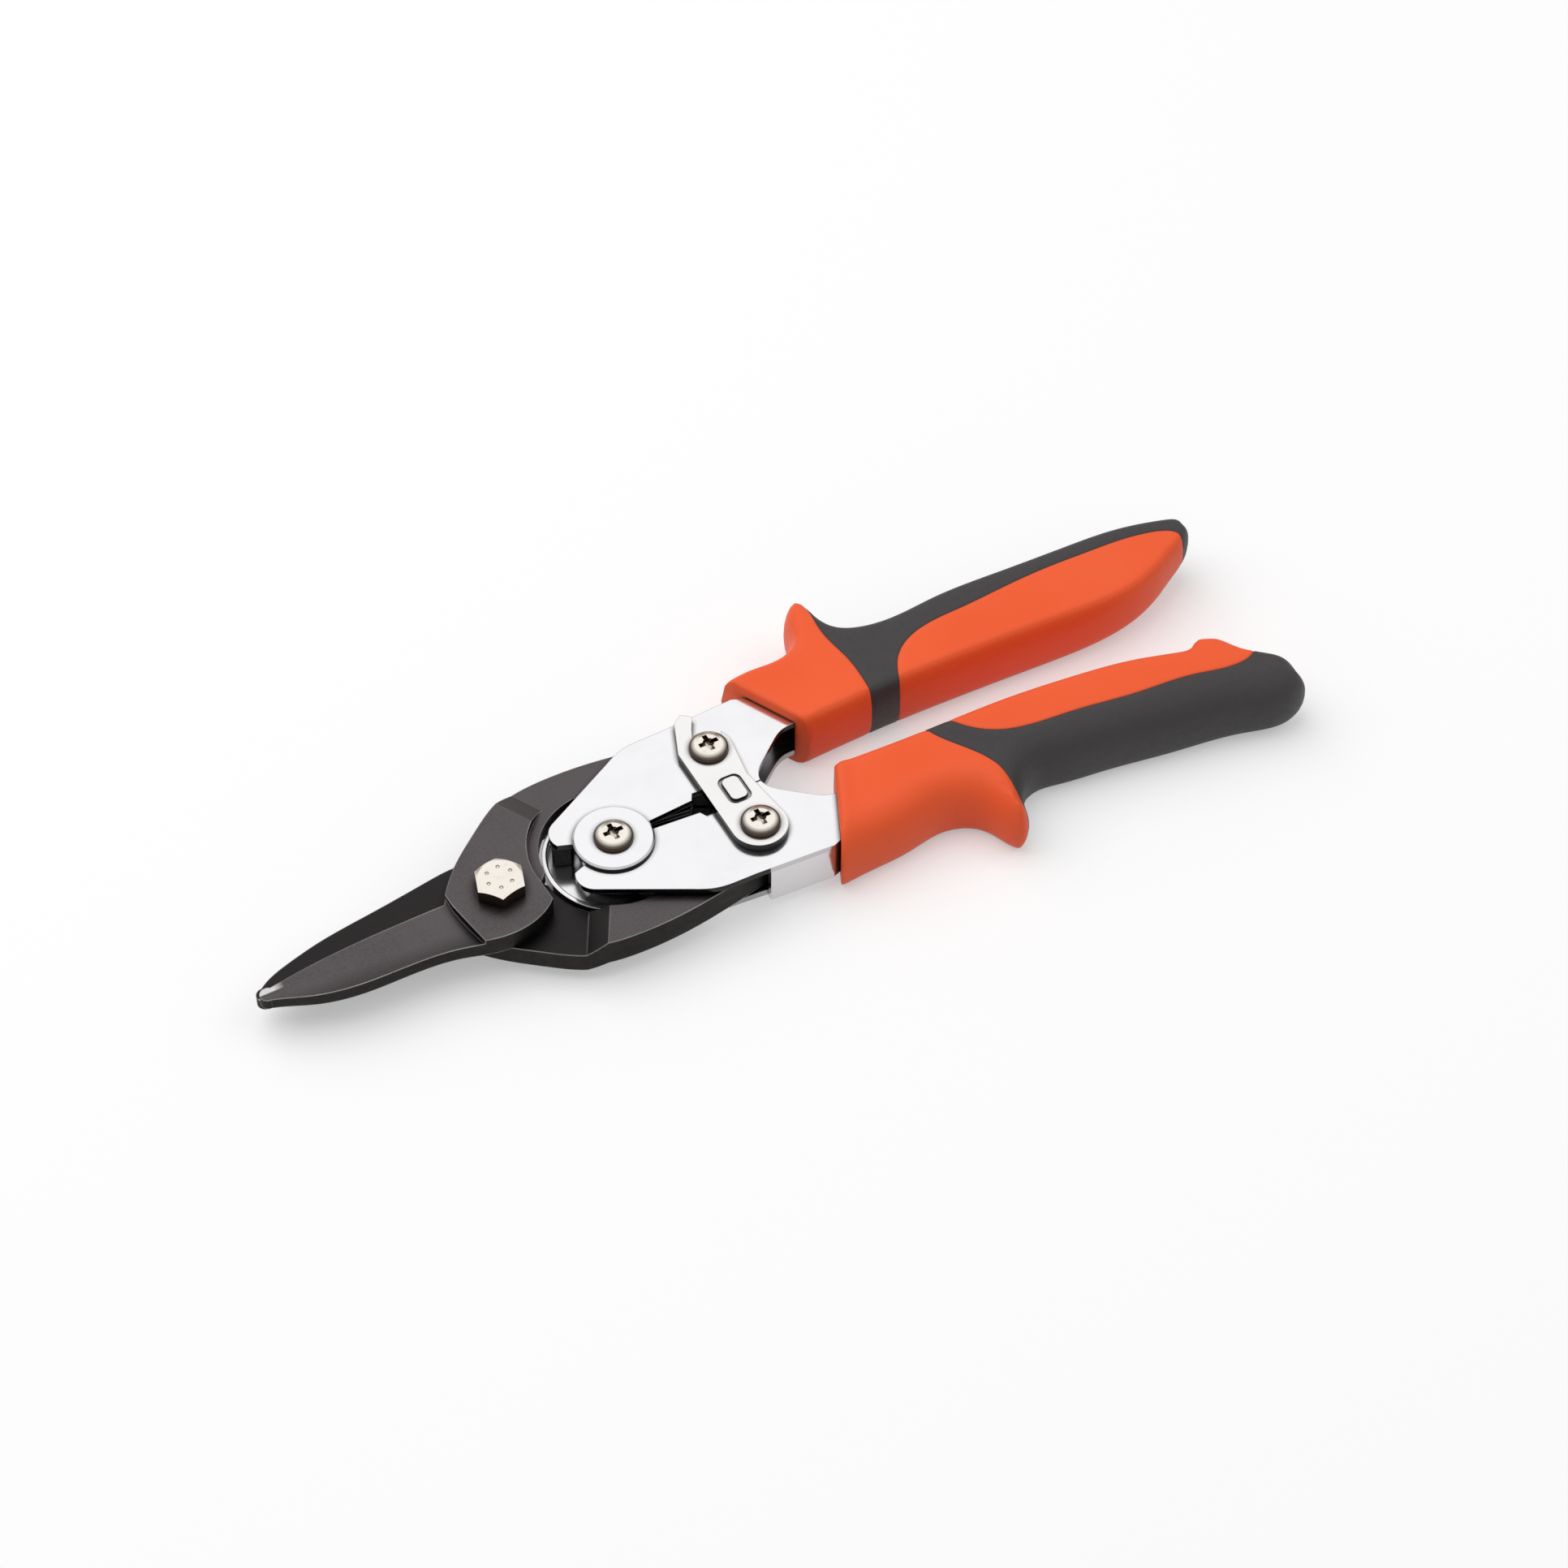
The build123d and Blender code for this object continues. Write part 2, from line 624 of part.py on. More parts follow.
# ---- latch -----------------------------------------------------------------------------------
def latch():
    """Plate that pivots on the tail screw of side B and catches the neck of side A's screw.

    The notch follows the way of that neck as the handles part and the latch swings forward.
    """
    tab = [(tail_x + along, tail_y + across) for along, across in latch_tab]
    waist = [(tail_x + along, across) for along, across in latch_waist]
    plan = polygon((tail_x - latch_left, -tail_y), *tab, *waist, (tail_x + latch_end_r, -tail_y))
    round_r = (latch_left + latch_end_r) / 2
    body = slab(plan, latch_under, latch_top)
    body = body + disc(round_r, latch_under, latch_top, tail_x + latch_end_r - round_r, -tail_y)
    body = body - disc(neck_r + running_fit, latch_under - 1, latch_top + 1, tail_x, -tail_y)
    for travel in range(notch_steps):
        point = polar(tail_radius, degrees(atan2(tail_y, tail_x)) + travel)
        dx = point[0] - tail_x
        dy = point[1] + tail_y
        back = radians(-latch_ratio * travel)
        x = tail_x + dx * cos(back) - dy * sin(back)
        y = -tail_y + dx * sin(back) + dy * cos(back)
        body = body - disc(neck_r + ear_gap, latch_under - 1, latch_top + 1, x, y)
    # raised thumb pad inside a pressed groove
    middle = Pos(tail_x + pad_middle[0], pad_middle[1], latch_top)
    moat_wide = pad_wide + 2 * pad_groove
    moat_long = pad_long + 2 * pad_groove
    moat = middle * RectangleRounded(moat_wide, moat_long, pad_corner_r + pad_groove / 2)
    body = body - extrude(moat, amount=-pad_groove_deep, dir=(0, 0, 1))
    face = middle * RectangleRounded(pad_wide, pad_long, pad_corner_r)
    pad = extrude(face, amount=pad_high, dir=(0, 0, 1))
    pad = pad + Pos(0, 0, -pad_groove_deep) * pad
    crown = pad.edges().filter_by(lambda edge: (edge @ 0.5).Z > latch_top + pad_high - 0.01)
    return body + fillet(crown, pad_high * 0.8)


# ---- grips -----------------------------------------------------------------------------------
def palm_outline():
    """Plan of grip A: thumb horn forward, straight back, end drawn in towards the outer side."""
    end_x = centre_to_grip_end
    outer_y = palm_outer_y
    inner_y = palm_inner_y
    outer = Spline(
        (grip_front, outer_y - 0.8),
        (grip_front + 7.4, outer_y),
        (palm_horn_x - 11.0, outer_y + 0.1),
        (palm_horn_x - 7.2, outer_y + 2.6),
        (palm_horn_x - 4.3, palm_horn_y - 4.2),
        (palm_horn_x - 2.9, palm_horn_y - 1.2),
        (palm_horn_x, palm_horn_y),
        (palm_horn_x + 2.9, palm_horn_y - 1.5),
        (palm_horn_x + 4.1, palm_horn_y - 4.8),
        (palm_horn_x + 6.2, outer_y + 2.2),
        (palm_horn_x + 10.4, outer_y - 0.1),
        (palm_horn_x + 29.0, outer_y - 0.4),
        (end_x - 48.0, outer_y - 0.9),
        (end_x - 30.0, outer_y - 1.4),
        (end_x - 17.0, outer_y - 2.3),
        (end_x - 4.6, outer_y - 4.4),
        (end_x - 0.9, outer_y - 6.4),
        (end_x, outer_y - 8.8),
        (end_x - 1.3, outer_y - 11.8),
        (end_x - 8.0, inner_y + 5.6),
        (end_x - 15.0, inner_y + 2.0),
        (end_x - 26.0, inner_y - 0.5),
        (end_x - 44.0, inner_y - 0.6),
        (end_x - 68.0, inner_y + 0.2),
        (end_x - 90.0, inner_y + 0.3),
        (grip_inner_front, inner_y - 0.6),
    )
    return closed(outer, Line(outer @ 1, outer @ 0))


def finger_outline():
    """Plan of grip B, laid out on side A: horn further back, and an end that flares outwards."""
    end_x = centre_to_grip_end
    outer_y = finger_outer_y
    inner_y = finger_inner_y
    outer = Spline(
        (grip_front, outer_y + 2.4),
        (grip_front + 7.4, outer_y + 1.7),
        (finger_horn_x - 21.0, outer_y + 0.8),
        (finger_horn_x - 10.2, outer_y - 0.3),
        (finger_horn_x - 5.6, outer_y + 3.0),
        (finger_horn_x - 3.5, finger_horn_y - 4.2),
        (finger_horn_x - 2.1, finger_horn_y - 1.2),
        (finger_horn_x + 0.8, finger_horn_y),
        (finger_horn_x + 3.7, finger_horn_y - 1.2),
        (finger_horn_x + 4.9, finger_horn_y - 4.0),
        (finger_horn_x + 7.4, outer_y + 2.9),
        (finger_horn_x + 12.0, outer_y + 0.2),
        (finger_horn_x + 19.0, outer_y + 0.8),
        (finger_horn_x + 30.0, outer_y + 2.2),
        (end_x - 34.0, finger_end_y - 5.0),
        (end_x - 17.0, finger_end_y - 1.8),
        (end_x - 6.0, finger_end_y),
        (end_x - 0.8, finger_end_y - 4.4),
        (end_x - 1.6, finger_end_y - 9.8),
        (end_x - 6.6, finger_end_y - 15.2),
        (end_x - 13.4, inner_y + 11.6),
        (end_x - 24.0, inner_y + 7.8),
        (end_x - 34.0, inner_y + 5.0),
        (end_x - 49.5, inner_y + 2.5),
        (end_x - 66.0, inner_y + 0.8),
        (end_x - 90.0, inner_y + 0.1),
        (grip_inner_front, inner_y - 0.6),
    )
    return closed(outer, Line(outer @ 1, outer @ 0))


def grip_body(outline):
    """Whole grip, core and overmould together, with rounded rims and the pocket for the tang."""
    body = slab(outline, -grip_half, grip_half)
    faces = body.faces().sort_by(Axis.Z)
    rims = faces[0].edges() + faces[-1].edges()
    long_edges = [edge for edge in rims if edge.length > grip_inner_front]
    body = fillet(long_edges, grip_round)
    pocket = polygon(
        (grip_front - side_reach, tang_inner_y - seat_gap),
        (grip_front - side_reach, frame_outer_y + seat_gap),
        (grip_front, frame_outer_y + seat_gap),
        (grip_front + tang_step, tang_outer_y + seat_gap),
        (tang_end + seat_gap, tang_outer_y + seat_gap),
        (tang_end + seat_gap, tang_inner_y - seat_gap),
    )
    return body - slab(pocket, -frame_half - seat_gap, frame_half + seat_gap)


def core_zone(seam, border):
    """Space that the hard core fills: the front block, the inner panel and a hidden tongue.

    seam is the plan curve behind the front block, border the curve round the inner panel.
    """
    tall = 2 * grip_half
    far_y = palm_horn_y + side_reach
    ahead_x = grip_front - side_reach
    front = closed(
        seam,
        Line(seam @ 1, (ahead_x, far_y)),
        Line((ahead_x, far_y), (ahead_x, -side_reach)),
        Line((ahead_x, -side_reach), seam @ 0),
    )
    panel = closed(border, Line(border @ 1, border @ 0))
    tongue = polygon(
        (grip_inner_front, tang_inner_y - tongue_play),
        (grip_inner_front, tang_outer_y + tongue_cover),
        (tang_end + tongue_end, tang_outer_y + tongue_cover),
        (tang_end + tongue_end, tang_inner_y - tongue_play),
    )
    high = grip_half - core_cover
    return slab(front, -tall, tall) + slab(panel, -tall, tall) + slab(tongue, -high, high)


def palm_zone():
    x = palm_seam_x
    seam = Spline(
        (x - 1.6, -side_reach),
        (x, palm_inner_y + 3.0),
        (x + 0.1, palm_panel_y + 0.4),
        (x - 1.2, palm_outer_y),
        (x - 0.6, palm_outer_y + 8.0),
        (x - 0.2, palm_horn_y + side_reach),
    )
    start = x + palm_band
    border = Spline(
        (start - 1.6, -side_reach),
        (start, palm_inner_y + 2.2),
        (start + 3.2, palm_panel_y - 4.0),
        (start + 9.7, palm_panel_y + 0.2),
        (start + 23.2, palm_panel_y + 1.9),
        (start + 34.4, palm_panel_y + 2.8),
        (start + 47.4, palm_panel_y + 3.5),
        (start + 59.2, palm_panel_y + 3.4),
        (panel_back - 4.4, palm_panel_y + 2.3),
        (panel_back + 2.0, palm_panel_y - 1.0),
        (panel_back + 1.8, palm_panel_y - 6.0),
        (panel_back, -side_reach),
    )
    return core_zone(seam, border)


def finger_zone():
    x = finger_seam_x
    seam = Spline(
        (x - 3.6, -side_reach),
        (x, finger_inner_y + 4.7),
        (x + 7.2, finger_panel_y + 1.4),
        (x + 9.0, finger_outer_y + 4.0),
        (x + 8.8, finger_horn_y - 2.6),
        (x + 6.4, palm_horn_y + side_reach),
    )
    start = x + finger_band
    border = Spline(
        (start - 4.6, -side_reach),
        (start, finger_inner_y + 3.9),
        (start + 7.0, finger_panel_y - 5.1),
        (start + 15.4, finger_panel_y - 2.8),
        (start + 25.8, finger_panel_y - 1.8),
        (start + 40.8, finger_panel_y + 0.3),
        (start + 54.8, finger_panel_y + 1.6),
        (panel_back - 8.0, finger_panel_y + 3.5),
        (panel_back - 3.2, finger_panel_y + 2.2),
        (panel_back - 1.4, finger_panel_y - 4.0),
        (panel_back - 1.2, -side_reach),
    )
    return core_zone(seam, border)


def nub():
    """Small rounded stop that stands off the inner side of grip B near its end."""
    centre_y = finger_inner_y + nub_from_inner
    knob = disc(nub_r, -nub_half, nub_half, nub_x, centre_y)
    return fillet(knob.edges().filter_by(GeomType.CIRCLE), nub_r * 0.5)


def grip_pieces(outline, zone):
    """Hard core and soft overmould of one grip."""
    body = grip_body(outline)
    return one_piece(body & zone), one_piece(body - zone)


def place(solid):
    return Pos(shift_x, shift_y, rest_level) * solid


def one_piece(shape):
    """The single solid of a shape, or the shape itself when it is a group."""
    solids = shape.solids()
    return solids[0] if len(solids) == 1 else Compound(children=list(solids))


def main():
    os.makedirs("parts", exist_ok=True)
    palm_core, palm_over = grip_pieces(palm_outline(), palm_zone())
    finger_core, finger_over = grip_pieces(finger_outline(), finger_zone())
    finger_core = one_piece(finger_core + (nub() - finger_over))
    pieces = {
        "blade_upper": upper_blade(),
        "blade_lower": lower_blade(),
        "pivot_bolt": pivot_bolt(),
        "pivot_nut": pivot_nut(),
        "handle_frame_a": frame_a(),
        "handle_frame_b": frame_b(),
        "centre_washer": centre_washer(),
        "centre_washer_lower": lower_washer(),
        "centre_screw": centre_screw(),
        "centre_barrel": centre_barrel(),
        "spring_cup": spring_cup(),
        "return_spring": return_spring(),
        "stop_pad": stop_pad(),
        "tail_screw_a": tail_screw(),
        "tail_screw_b": mirrored(tail_screw()),
        "tail_sleeve_a": tail_sleeve(),
        "tail_sleeve_b": mirrored(tail_sleeve()),
        "tail_bush_a": tail_bush(),
        "tail_bush_b": mirrored(tail_bush()),
        "tail_washers_a": tail_washers(),
        "tail_washers_b": mirrored(tail_washers()),
        "latch": latch(),
        "grip_core_a": palm_core,
        "grip_core_b": mirrored(finger_core),
        "grip_overmould_a": palm_over,
        "grip_overmould_b": mirrored(finger_over),
    }
    for name, shape in pieces.items():
        export_step(one_piece(place(shape)), f"parts/{name}.step")


main()
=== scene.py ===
import json
from math import cos, radians, sin

import bpy
import numpy as np
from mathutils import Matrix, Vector
from mathutils.geometry import delaunay_2d_cdt


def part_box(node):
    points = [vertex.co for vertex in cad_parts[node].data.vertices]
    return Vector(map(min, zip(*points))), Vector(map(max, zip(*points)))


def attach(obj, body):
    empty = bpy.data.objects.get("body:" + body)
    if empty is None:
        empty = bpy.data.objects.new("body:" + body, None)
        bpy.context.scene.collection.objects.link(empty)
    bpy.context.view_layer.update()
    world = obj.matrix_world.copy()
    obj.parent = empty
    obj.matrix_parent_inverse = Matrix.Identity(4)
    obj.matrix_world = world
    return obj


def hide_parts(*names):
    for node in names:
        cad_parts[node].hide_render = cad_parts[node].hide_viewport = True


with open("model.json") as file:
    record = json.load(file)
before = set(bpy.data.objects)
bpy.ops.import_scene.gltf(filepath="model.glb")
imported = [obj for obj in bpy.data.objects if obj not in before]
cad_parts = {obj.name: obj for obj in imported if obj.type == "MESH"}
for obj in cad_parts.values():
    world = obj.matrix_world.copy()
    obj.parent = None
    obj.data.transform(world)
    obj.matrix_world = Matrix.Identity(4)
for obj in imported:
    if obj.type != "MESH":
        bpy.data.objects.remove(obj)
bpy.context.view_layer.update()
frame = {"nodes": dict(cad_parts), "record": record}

MM = 0.001
LAP_PLANE = 8.5 * MM  # where the two blades slide on each other
PLATE_LEVEL = 12.5 * MM  # underside of the upper frame plates
FOLD_START = -11.5 * MM  # X where the frames' outer webs begin
FOLD_SIDE = 21.5 * MM  # how far their folds lie from the middle of the tool
MIDDLE_Y = -2.75 * MM
TIP_GROUND = (-119.0 * MM, -121.5 * MM)  # X where the oxide fades and where the tip is all bare
TIP_EDGE = -2.95 * MM  # Y of the bare patch at the tips
SCREWS = [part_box(name) for name in ("centre_screw", "tail_screw_a", "tail_screw_b")]
SCREW_AXES = [(0.5 * (low[0] + high[0]), 0.5 * (low[1] + high[1])) for low, high in SCREWS]
nodes = frame["nodes"]
scene = bpy.context.scene


# ---- node graphs -----------------------------------------------------------------------------
class Graph:
    """A material's node tree, with short calls for what the finishes below have in common."""

    def __init__(self, name):
        self.material = bpy.data.materials.new(name)
        self.material.use_nodes = True
        self.tree = self.material.node_tree
        self.tree.nodes.clear()
        self.output = self.tree.nodes.new("ShaderNodeOutputMaterial")

    def node(self, kind, **settings):
        made = self.tree.nodes.new("ShaderNode" + kind)
        for key, value in settings.items():
            setattr(made, key, value)
        return made

    def link(self, source, target):
        self.tree.links.new(source, target)

    def feed(self, socket, value):
        if hasattr(value, "is_linked"):
            self.link(value, socket)
        else:
            socket.default_value = value

    def split(self, vector):
        """The X, Y and Z of a vector, by name."""
        made = self.node("SeparateXYZ")
        self.link(vector, made.inputs[0])
        return made.outputs

    def place(self, stretch=(1, 1, 1), turn=0.0):
        """Coordinates in metres in the part's own frame, stretched and turned about Z."""
        source = self.node("TexCoord")
        mapping = self.node("Mapping")
        mapping.inputs["Scale"].default_value = stretch
        mapping.inputs["Rotation"].default_value = (0, 0, radians(turn))
        self.link(source.outputs["Object"], mapping.inputs["Vector"])
        return mapping.outputs["Vector"]

    def noise(self, scale, vector, detail=3.0, rough=0.55, distortion=0.0):
        made = self.node("TexNoise")
        made.inputs["Scale"].default_value = scale
        made.inputs["Detail"].default_value = detail
        made.inputs["Roughness"].default_value = rough
        made.inputs["Distortion"].default_value = distortion
        self.link(vector, made.inputs["Vector"])
        return made.outputs["Fac"]

    def ramp(self, factor, low, high, from_value=0.0, to_value=1.0):
        made = self.node("MapRange")
        made.inputs["From Min"].default_value = low
        made.inputs["From Max"].default_value = high
        made.inputs["To Min"].default_value = from_value
        made.inputs["To Max"].default_value = to_value
        self.link(factor, made.inputs["Value"])
        return made.outputs["Result"]

    def maths(self, operation, a, b=0.0):
        made = self.node("Math", operation=operation)
        self.feed(made.inputs[0], a)
        self.feed(made.inputs[1], b)
        return made.outputs[0]

    def mix(self, factor, a, b):
        made = self.node("Mix", data_type="RGBA")
        self.feed(made.inputs["Factor"], factor)
        self.feed(made.inputs[6], a)
        self.feed(made.inputs[7], b)
        return made.outputs[2]

    def edges(self, radius):
        """Rounded normal, and how much of each point is edge."""
        bevel = self.node("Bevel", samples=4)
        bevel.inputs["Radius"].default_value = radius
        geometry = self.node("NewGeometry")
        dot = self.node("VectorMath", operation="DOT_PRODUCT")
        self.link(bevel.outputs["Normal"], dot.inputs[0])
        self.link(geometry.outputs["Normal"], dot.inputs[1])
        return bevel.outputs["Normal"], self.ramp(dot.outputs["Value"], 0.995, 0.90)

    def bump(self, height, distance, strength=1.0, normal=None):
        made = self.node("Bump")
        made.inputs["Distance"].default_value = distance
        made.inputs["Strength"].default_value = strength
        self.link(height, made.inputs["Height"])
        if normal is not None:
            self.link(normal, made.inputs["Normal"])
        return made.outputs["Normal"]

    def finish(self, colour, roughness, normal, metallic=0.0, **constants):
        shader = self.node("BsdfPrincipled")
        self.feed(shader.inputs["Base Color"], colour)
        self.feed(shader.inputs["Roughness"], roughness)
        self.link(normal, shader.inputs["Normal"])
        shader.inputs["Metallic"].default_value = metallic
        for key, value in constants.items():
            shader.inputs[key.replace("_", " ")].default_value = value
        self.link(shader.outputs["BSDF"], self.output.inputs["Surface"])
        return self.material


def grey(level, warm=0.0):
    return (level * (1 + warm), level, level * (1 - warm), 1.0)


def steel(level):
    """Oxide grey with its faint brown-violet cast."""
    return (level * 1.10, level * 0.975, level * 0.995, 1.0)


def ground_metal(name, colour, worn, roughness, edge_radius):
    """Metal with fine directional grinding marks, clouding and polished edges."""
    g = Graph(name)
    streaks = g.noise(900.0, g.place((0.06, 1.0, 0.3), 90.0), 4.0, 0.6)
    clouds = g.noise(60.0, g.place(), 4.0, 0.6)
    normal, edge = g.edges(edge_radius)
    shade = g.ramp(clouds, 0.3, 0.7, 0.86, 1.1)
    shade = g.maths("MULTIPLY", shade, g.ramp(streaks, 0.3, 0.7, 0.94, 1.04))
    dark = g.mix(shade, grey(0.0), colour)
    edge = g.maths("MULTIPLY", edge, g.ramp(clouds, 0.35, 0.6))
    tone = g.mix(edge, dark, worn)
    rough = g.maths("MULTIPLY", roughness, g.ramp(streaks, 0.3, 0.7, 0.82, 1.2))
    rough = g.maths("MULTIPLY", rough, g.ramp(clouds, 0.3, 0.7, 0.85, 1.15))
    return g.finish(tone, rough, g.bump(streaks, 0.006 * MM, 1.0, normal), 1.0)


def upright(g, low=0.35, high=0.8):
    """How far a face is turned away from level."""
    normal = g.split(g.node("NewGeometry").outputs["Normal"])
    return g.ramp(g.maths("ABSOLUTE", normal["Z"]), high, low)


def crevice_shade(g, reach):
    """How far a point lies in a corner or recess: the mask for the shade painted there."""
    closeness = g.node("AmbientOcclusion", samples=6)
    closeness.inputs["Distance"].default_value = reach
    return g.ramp(closeness.outputs["AO"], 0.92, 0.55)


def blade_metal(name, level, flank_shade_level, edge_level, lap_reflection_level):
    """Black oxide steel: ground faces, flanks painted darker as shade with forge-scale mottle, lap
    plane painted near black as a dark reflection, painted shade in corners, burnished edges and
    bare tips.

    The levels are greys: of the faces, of the shaded flanks, of the worn edges and of the lap
    plane's painted reflection.
    """
    g = Graph(name)
    streaks = g.noise(900.0, g.place((0.05, 1.0, 0.3), 98.0), 4.0, 0.62)
    clouds = g.noise(45.0, g.place(), 4.0, 0.6)
    scale = g.noise(700.0, g.place(), 4.0, 0.65)
    speckle = g.noise(2100.0, g.place(), 3.0, 0.6)
    normal, edge = g.edges(0.4 * MM)
    flank = upright(g, 0.5, 0.93)
    shade = g.ramp(clouds, 0.3, 0.7, 0.86, 1.12)
    shade = g.maths("MULTIPLY", shade, g.ramp(streaks, 0.3, 0.7, 0.94, 1.05))
    shade = g.maths("MULTIPLY", shade, g.ramp(speckle, 0.3, 0.7, 0.84, 1.14))
    face = g.mix(shade, grey(0.0), steel(level))
    coordinates = g.node("TexCoord")
    spot = g.split(coordinates.outputs["Object"])
    off_lap = g.maths("ABSOLUTE", g.maths("SUBTRACT", spot["Z"], LAP_PLANE))
    # painted reflection: the lap plane is painted near black, as the dark it reflects
    face = g.mix(g.ramp(off_lap, 0.1 * MM, 0.05 * MM), face, steel(lap_reflection_level))
    # the hollow of the jaw leans towards +Y and mirrors the dark there
    facing = g.split(coordinates.outputs["Normal"])
    face = g.mix(g.ramp(facing["Y"], 0.04, 0.26, 0.0, 0.75), face, steel(lap_reflection_level))
    # painted shade: faces turned away from level are painted darker, with forge-scale mottle
    shaded_flank = g.mix(scale, grey(flank_shade_level * 0.7, 0.06), grey(flank_shade_level * 1.3, 0.06))
    tone = g.mix(flank, face, shaded_flank)
    wear = g.maths("MULTIPLY", edge, g.ramp(clouds, 0.30, 0.62, 0.45, 1.0))
    tone = g.mix(wear, tone, grey(edge_level, 0.02))
    # painted shade in corners, under the frame plates and beside the other blade
    tone = g.mix(g.maths("MULTIPLY", crevice_shade(g, 2.5 * MM), 0.75), tone, steel(0.010))
    off_edge = g.maths("ABSOLUTE", g.maths("SUBTRACT", spot["Y"], TIP_EDGE))
    bare = g.maths("MULTIPLY", g.ramp(spot["X"], *TIP_GROUND), g.ramp(off_edge, 0.9 * MM, 0.6 * MM))
    bare = g.maths("MULTIPLY", bare, g.ramp(flank, 0.0, 1.0, 0.9, 0.0))
    tone = g.mix(bare, tone, grey(0.75, 0.02))
    rough = g.ramp(streaks, 0.3, 0.7, 0.84, 1.16)
    rough = g.maths("MULTIPLY", rough, g.ramp(flank, 0.0, 1.0, 0.40, 0.55))
    rough = g.maths("SUBTRACT", rough, g.maths("MULTIPLY", wear, 0.12))
    height = g.maths("ADD", streaks, g.maths("MULTIPLY", scale, g.ramp(flank, 0.0, 1.0, 0.15, 1.6)))
    height = g.maths("ADD", height, g.maths("MULTIPLY", speckle, 0.9))
    return g.finish(tone, rough, g.bump(height, 0.010 * MM, 1.0, normal), 1.0)


def plated_metal(
    name,
    colour,
    roughness,
    edge_radius,
    stain_and_painted_dark,
    rim_share,
    steep,
    recess,
    stain=0.0,
    raised_only=False,
    rings=False,
):
    """Bright plating with faint ripple and smudges; rims, flanks and corners are painted dark.

    The dark is painted reflection on rims and flanks, painted shade in corners, and stain in
    patches. rim_share is how far the rims take the painted dark, steep the range of tilt over
    which a face becomes a flank, recess how far hollows take the painted shade, and stain how far
    level faces take stain, in patches. raised_only makes the painted dark weaker on the folds of
    the frames and below their upper plates. rings puts painted dark reflection in a broad ring
    round the rims of the screws' heads.
    """
    g = Graph(name)
    smudge = g.noise(90.0, g.place(), 3.0, 0.6, 0.4)
    pits = g.noise(2600.0, g.place(), 2.0, 0.5)
    wave = g.noise(220.0, g.place(), 2.0, 0.5)
    normal, edge = g.edges(edge_radius)
    dulled = tuple(channel * 0.96 for channel in colour[:3]) + (1.0,)
    tone = g.mix(g.ramp(smudge, 0.45, 0.75), colour, dulled)
    # painted reflection: flanks and rims are painted dark, as the dark they reflect
    dark = g.maths("MAXIMUM", upright(g, *steep), g.maths("MULTIPLY", edge, rim_share))
    spot = g.split(g.place())
    if raised_only:
        plate = g.ramp(spot["Z"], PLATE_LEVEL - 0.1 * MM, PLATE_LEVEL, 0.6, 1.0)
        dark = g.maths("MULTIPLY", dark, plate)
        aside = g.maths("ABSOLUTE", g.maths("SUBTRACT", spot["Y"], MIDDLE_Y))
        folded = g.ramp(spot["X"], FOLD_START - 0.2 * MM, FOLD_START, 0.0, 0.6)
        folded = g.maths("MULTIPLY", folded, g.ramp(aside, FOLD_SIDE, FOLD_SIDE + 0.4 * MM))
        dark = g.maths("MULTIPLY", dark, g.maths("SUBTRACT", 1.0, folded))
    # painted reflection: a dark ring round the rims of the screws' heads
    if rings:
        nearest = 1.0  # a metre: further than any point of the tool
        for axis_x, axis_y in SCREW_AXES:
            along = g.maths("SUBTRACT", spot["X"], axis_x)
            across = g.maths("SUBTRACT", spot["Y"], axis_y)
            along = g.maths("MULTIPLY", along, along)
            across = g.maths("MULTIPLY", across, across)
            distance = g.maths("SQRT", g.maths("ADD", along, across))
            nearest = g.maths("MINIMUM", nearest, distance)
        dark = g.maths("MAXIMUM", dark, g.ramp(nearest, 3.1 * MM, 4.1 * MM, 0.0, 0.96))
    patches = g.noise(430.0, g.place(), 3.0, 0.6, 0.3)
    dark = g.maths("MAXIMUM", dark, g.ramp(patches, 0.56, 0.72, 0.0, stain))
    # painted shade in hollows and where parts meet
    dark = g.maths("MAXIMUM", dark, g.maths("MULTIPLY", crevice_shade(g, 1.4 * MM), recess))
    tone = g.mix(g.maths("MULTIPLY", dark, g.ramp(smudge, 0.3, 0.7, 1.0, 0.97)), tone, stain_and_painted_dark)
    rough = g.maths("ADD", roughness, g.ramp(smudge, 0.4, 0.75, 0.0, 0.03))
    rippled = g.bump(wave, 0.010 * MM, 1.0, normal)
    return g.finish(tone, rough, g.bump(pits, 0.004 * MM, 0.6, rippled), 1.0)


def moulded(name, colour, shade, roughness, edge_radius, grain, grain_depth, **constants):
    """Moulded plastic or rubber: fine spark texture, slight clouding, scuffed edges."""
    g = Graph(name)
    fine = g.noise(grain, g.place(), 2.0, 0.6)
    coarse = g.noise(grain * 0.22, g.place(), 3.0, 0.6)
    clouds = g.noise(28.0, g.place(), 3.0, 0.5)
    normal, edge = g.edges(edge_radius)
    tone = g.mix(g.ramp(clouds, 0.35, 0.65), colour, shade)
    worn = tuple(min(1.0, channel * 1.12 + 0.006) for channel in colour[:3]) + (1.0,)
    tone = g.mix(g.maths("MULTIPLY", edge, g.ramp(coarse, 0.4, 0.7, 0.0, 0.6)), tone, worn)
    # painted shade in creases, grooves and where parts meet
    tone = g.mix(g.maths("MULTIPLY", crevice_shade(g, 0.9 * MM), 0.7), tone, grey(0.008, 0.2))
    rough = g.maths("MULTIPLY", roughness, g.ramp(coarse, 0.3, 0.7, 0.92, 1.1))
    height = g.maths("ADD", fine, g.maths("MULTIPLY", coarse, 0.8))
    return g.finish(tone, rough, g.bump(height, grain_depth, 1.0, normal), 0.0, **constants)


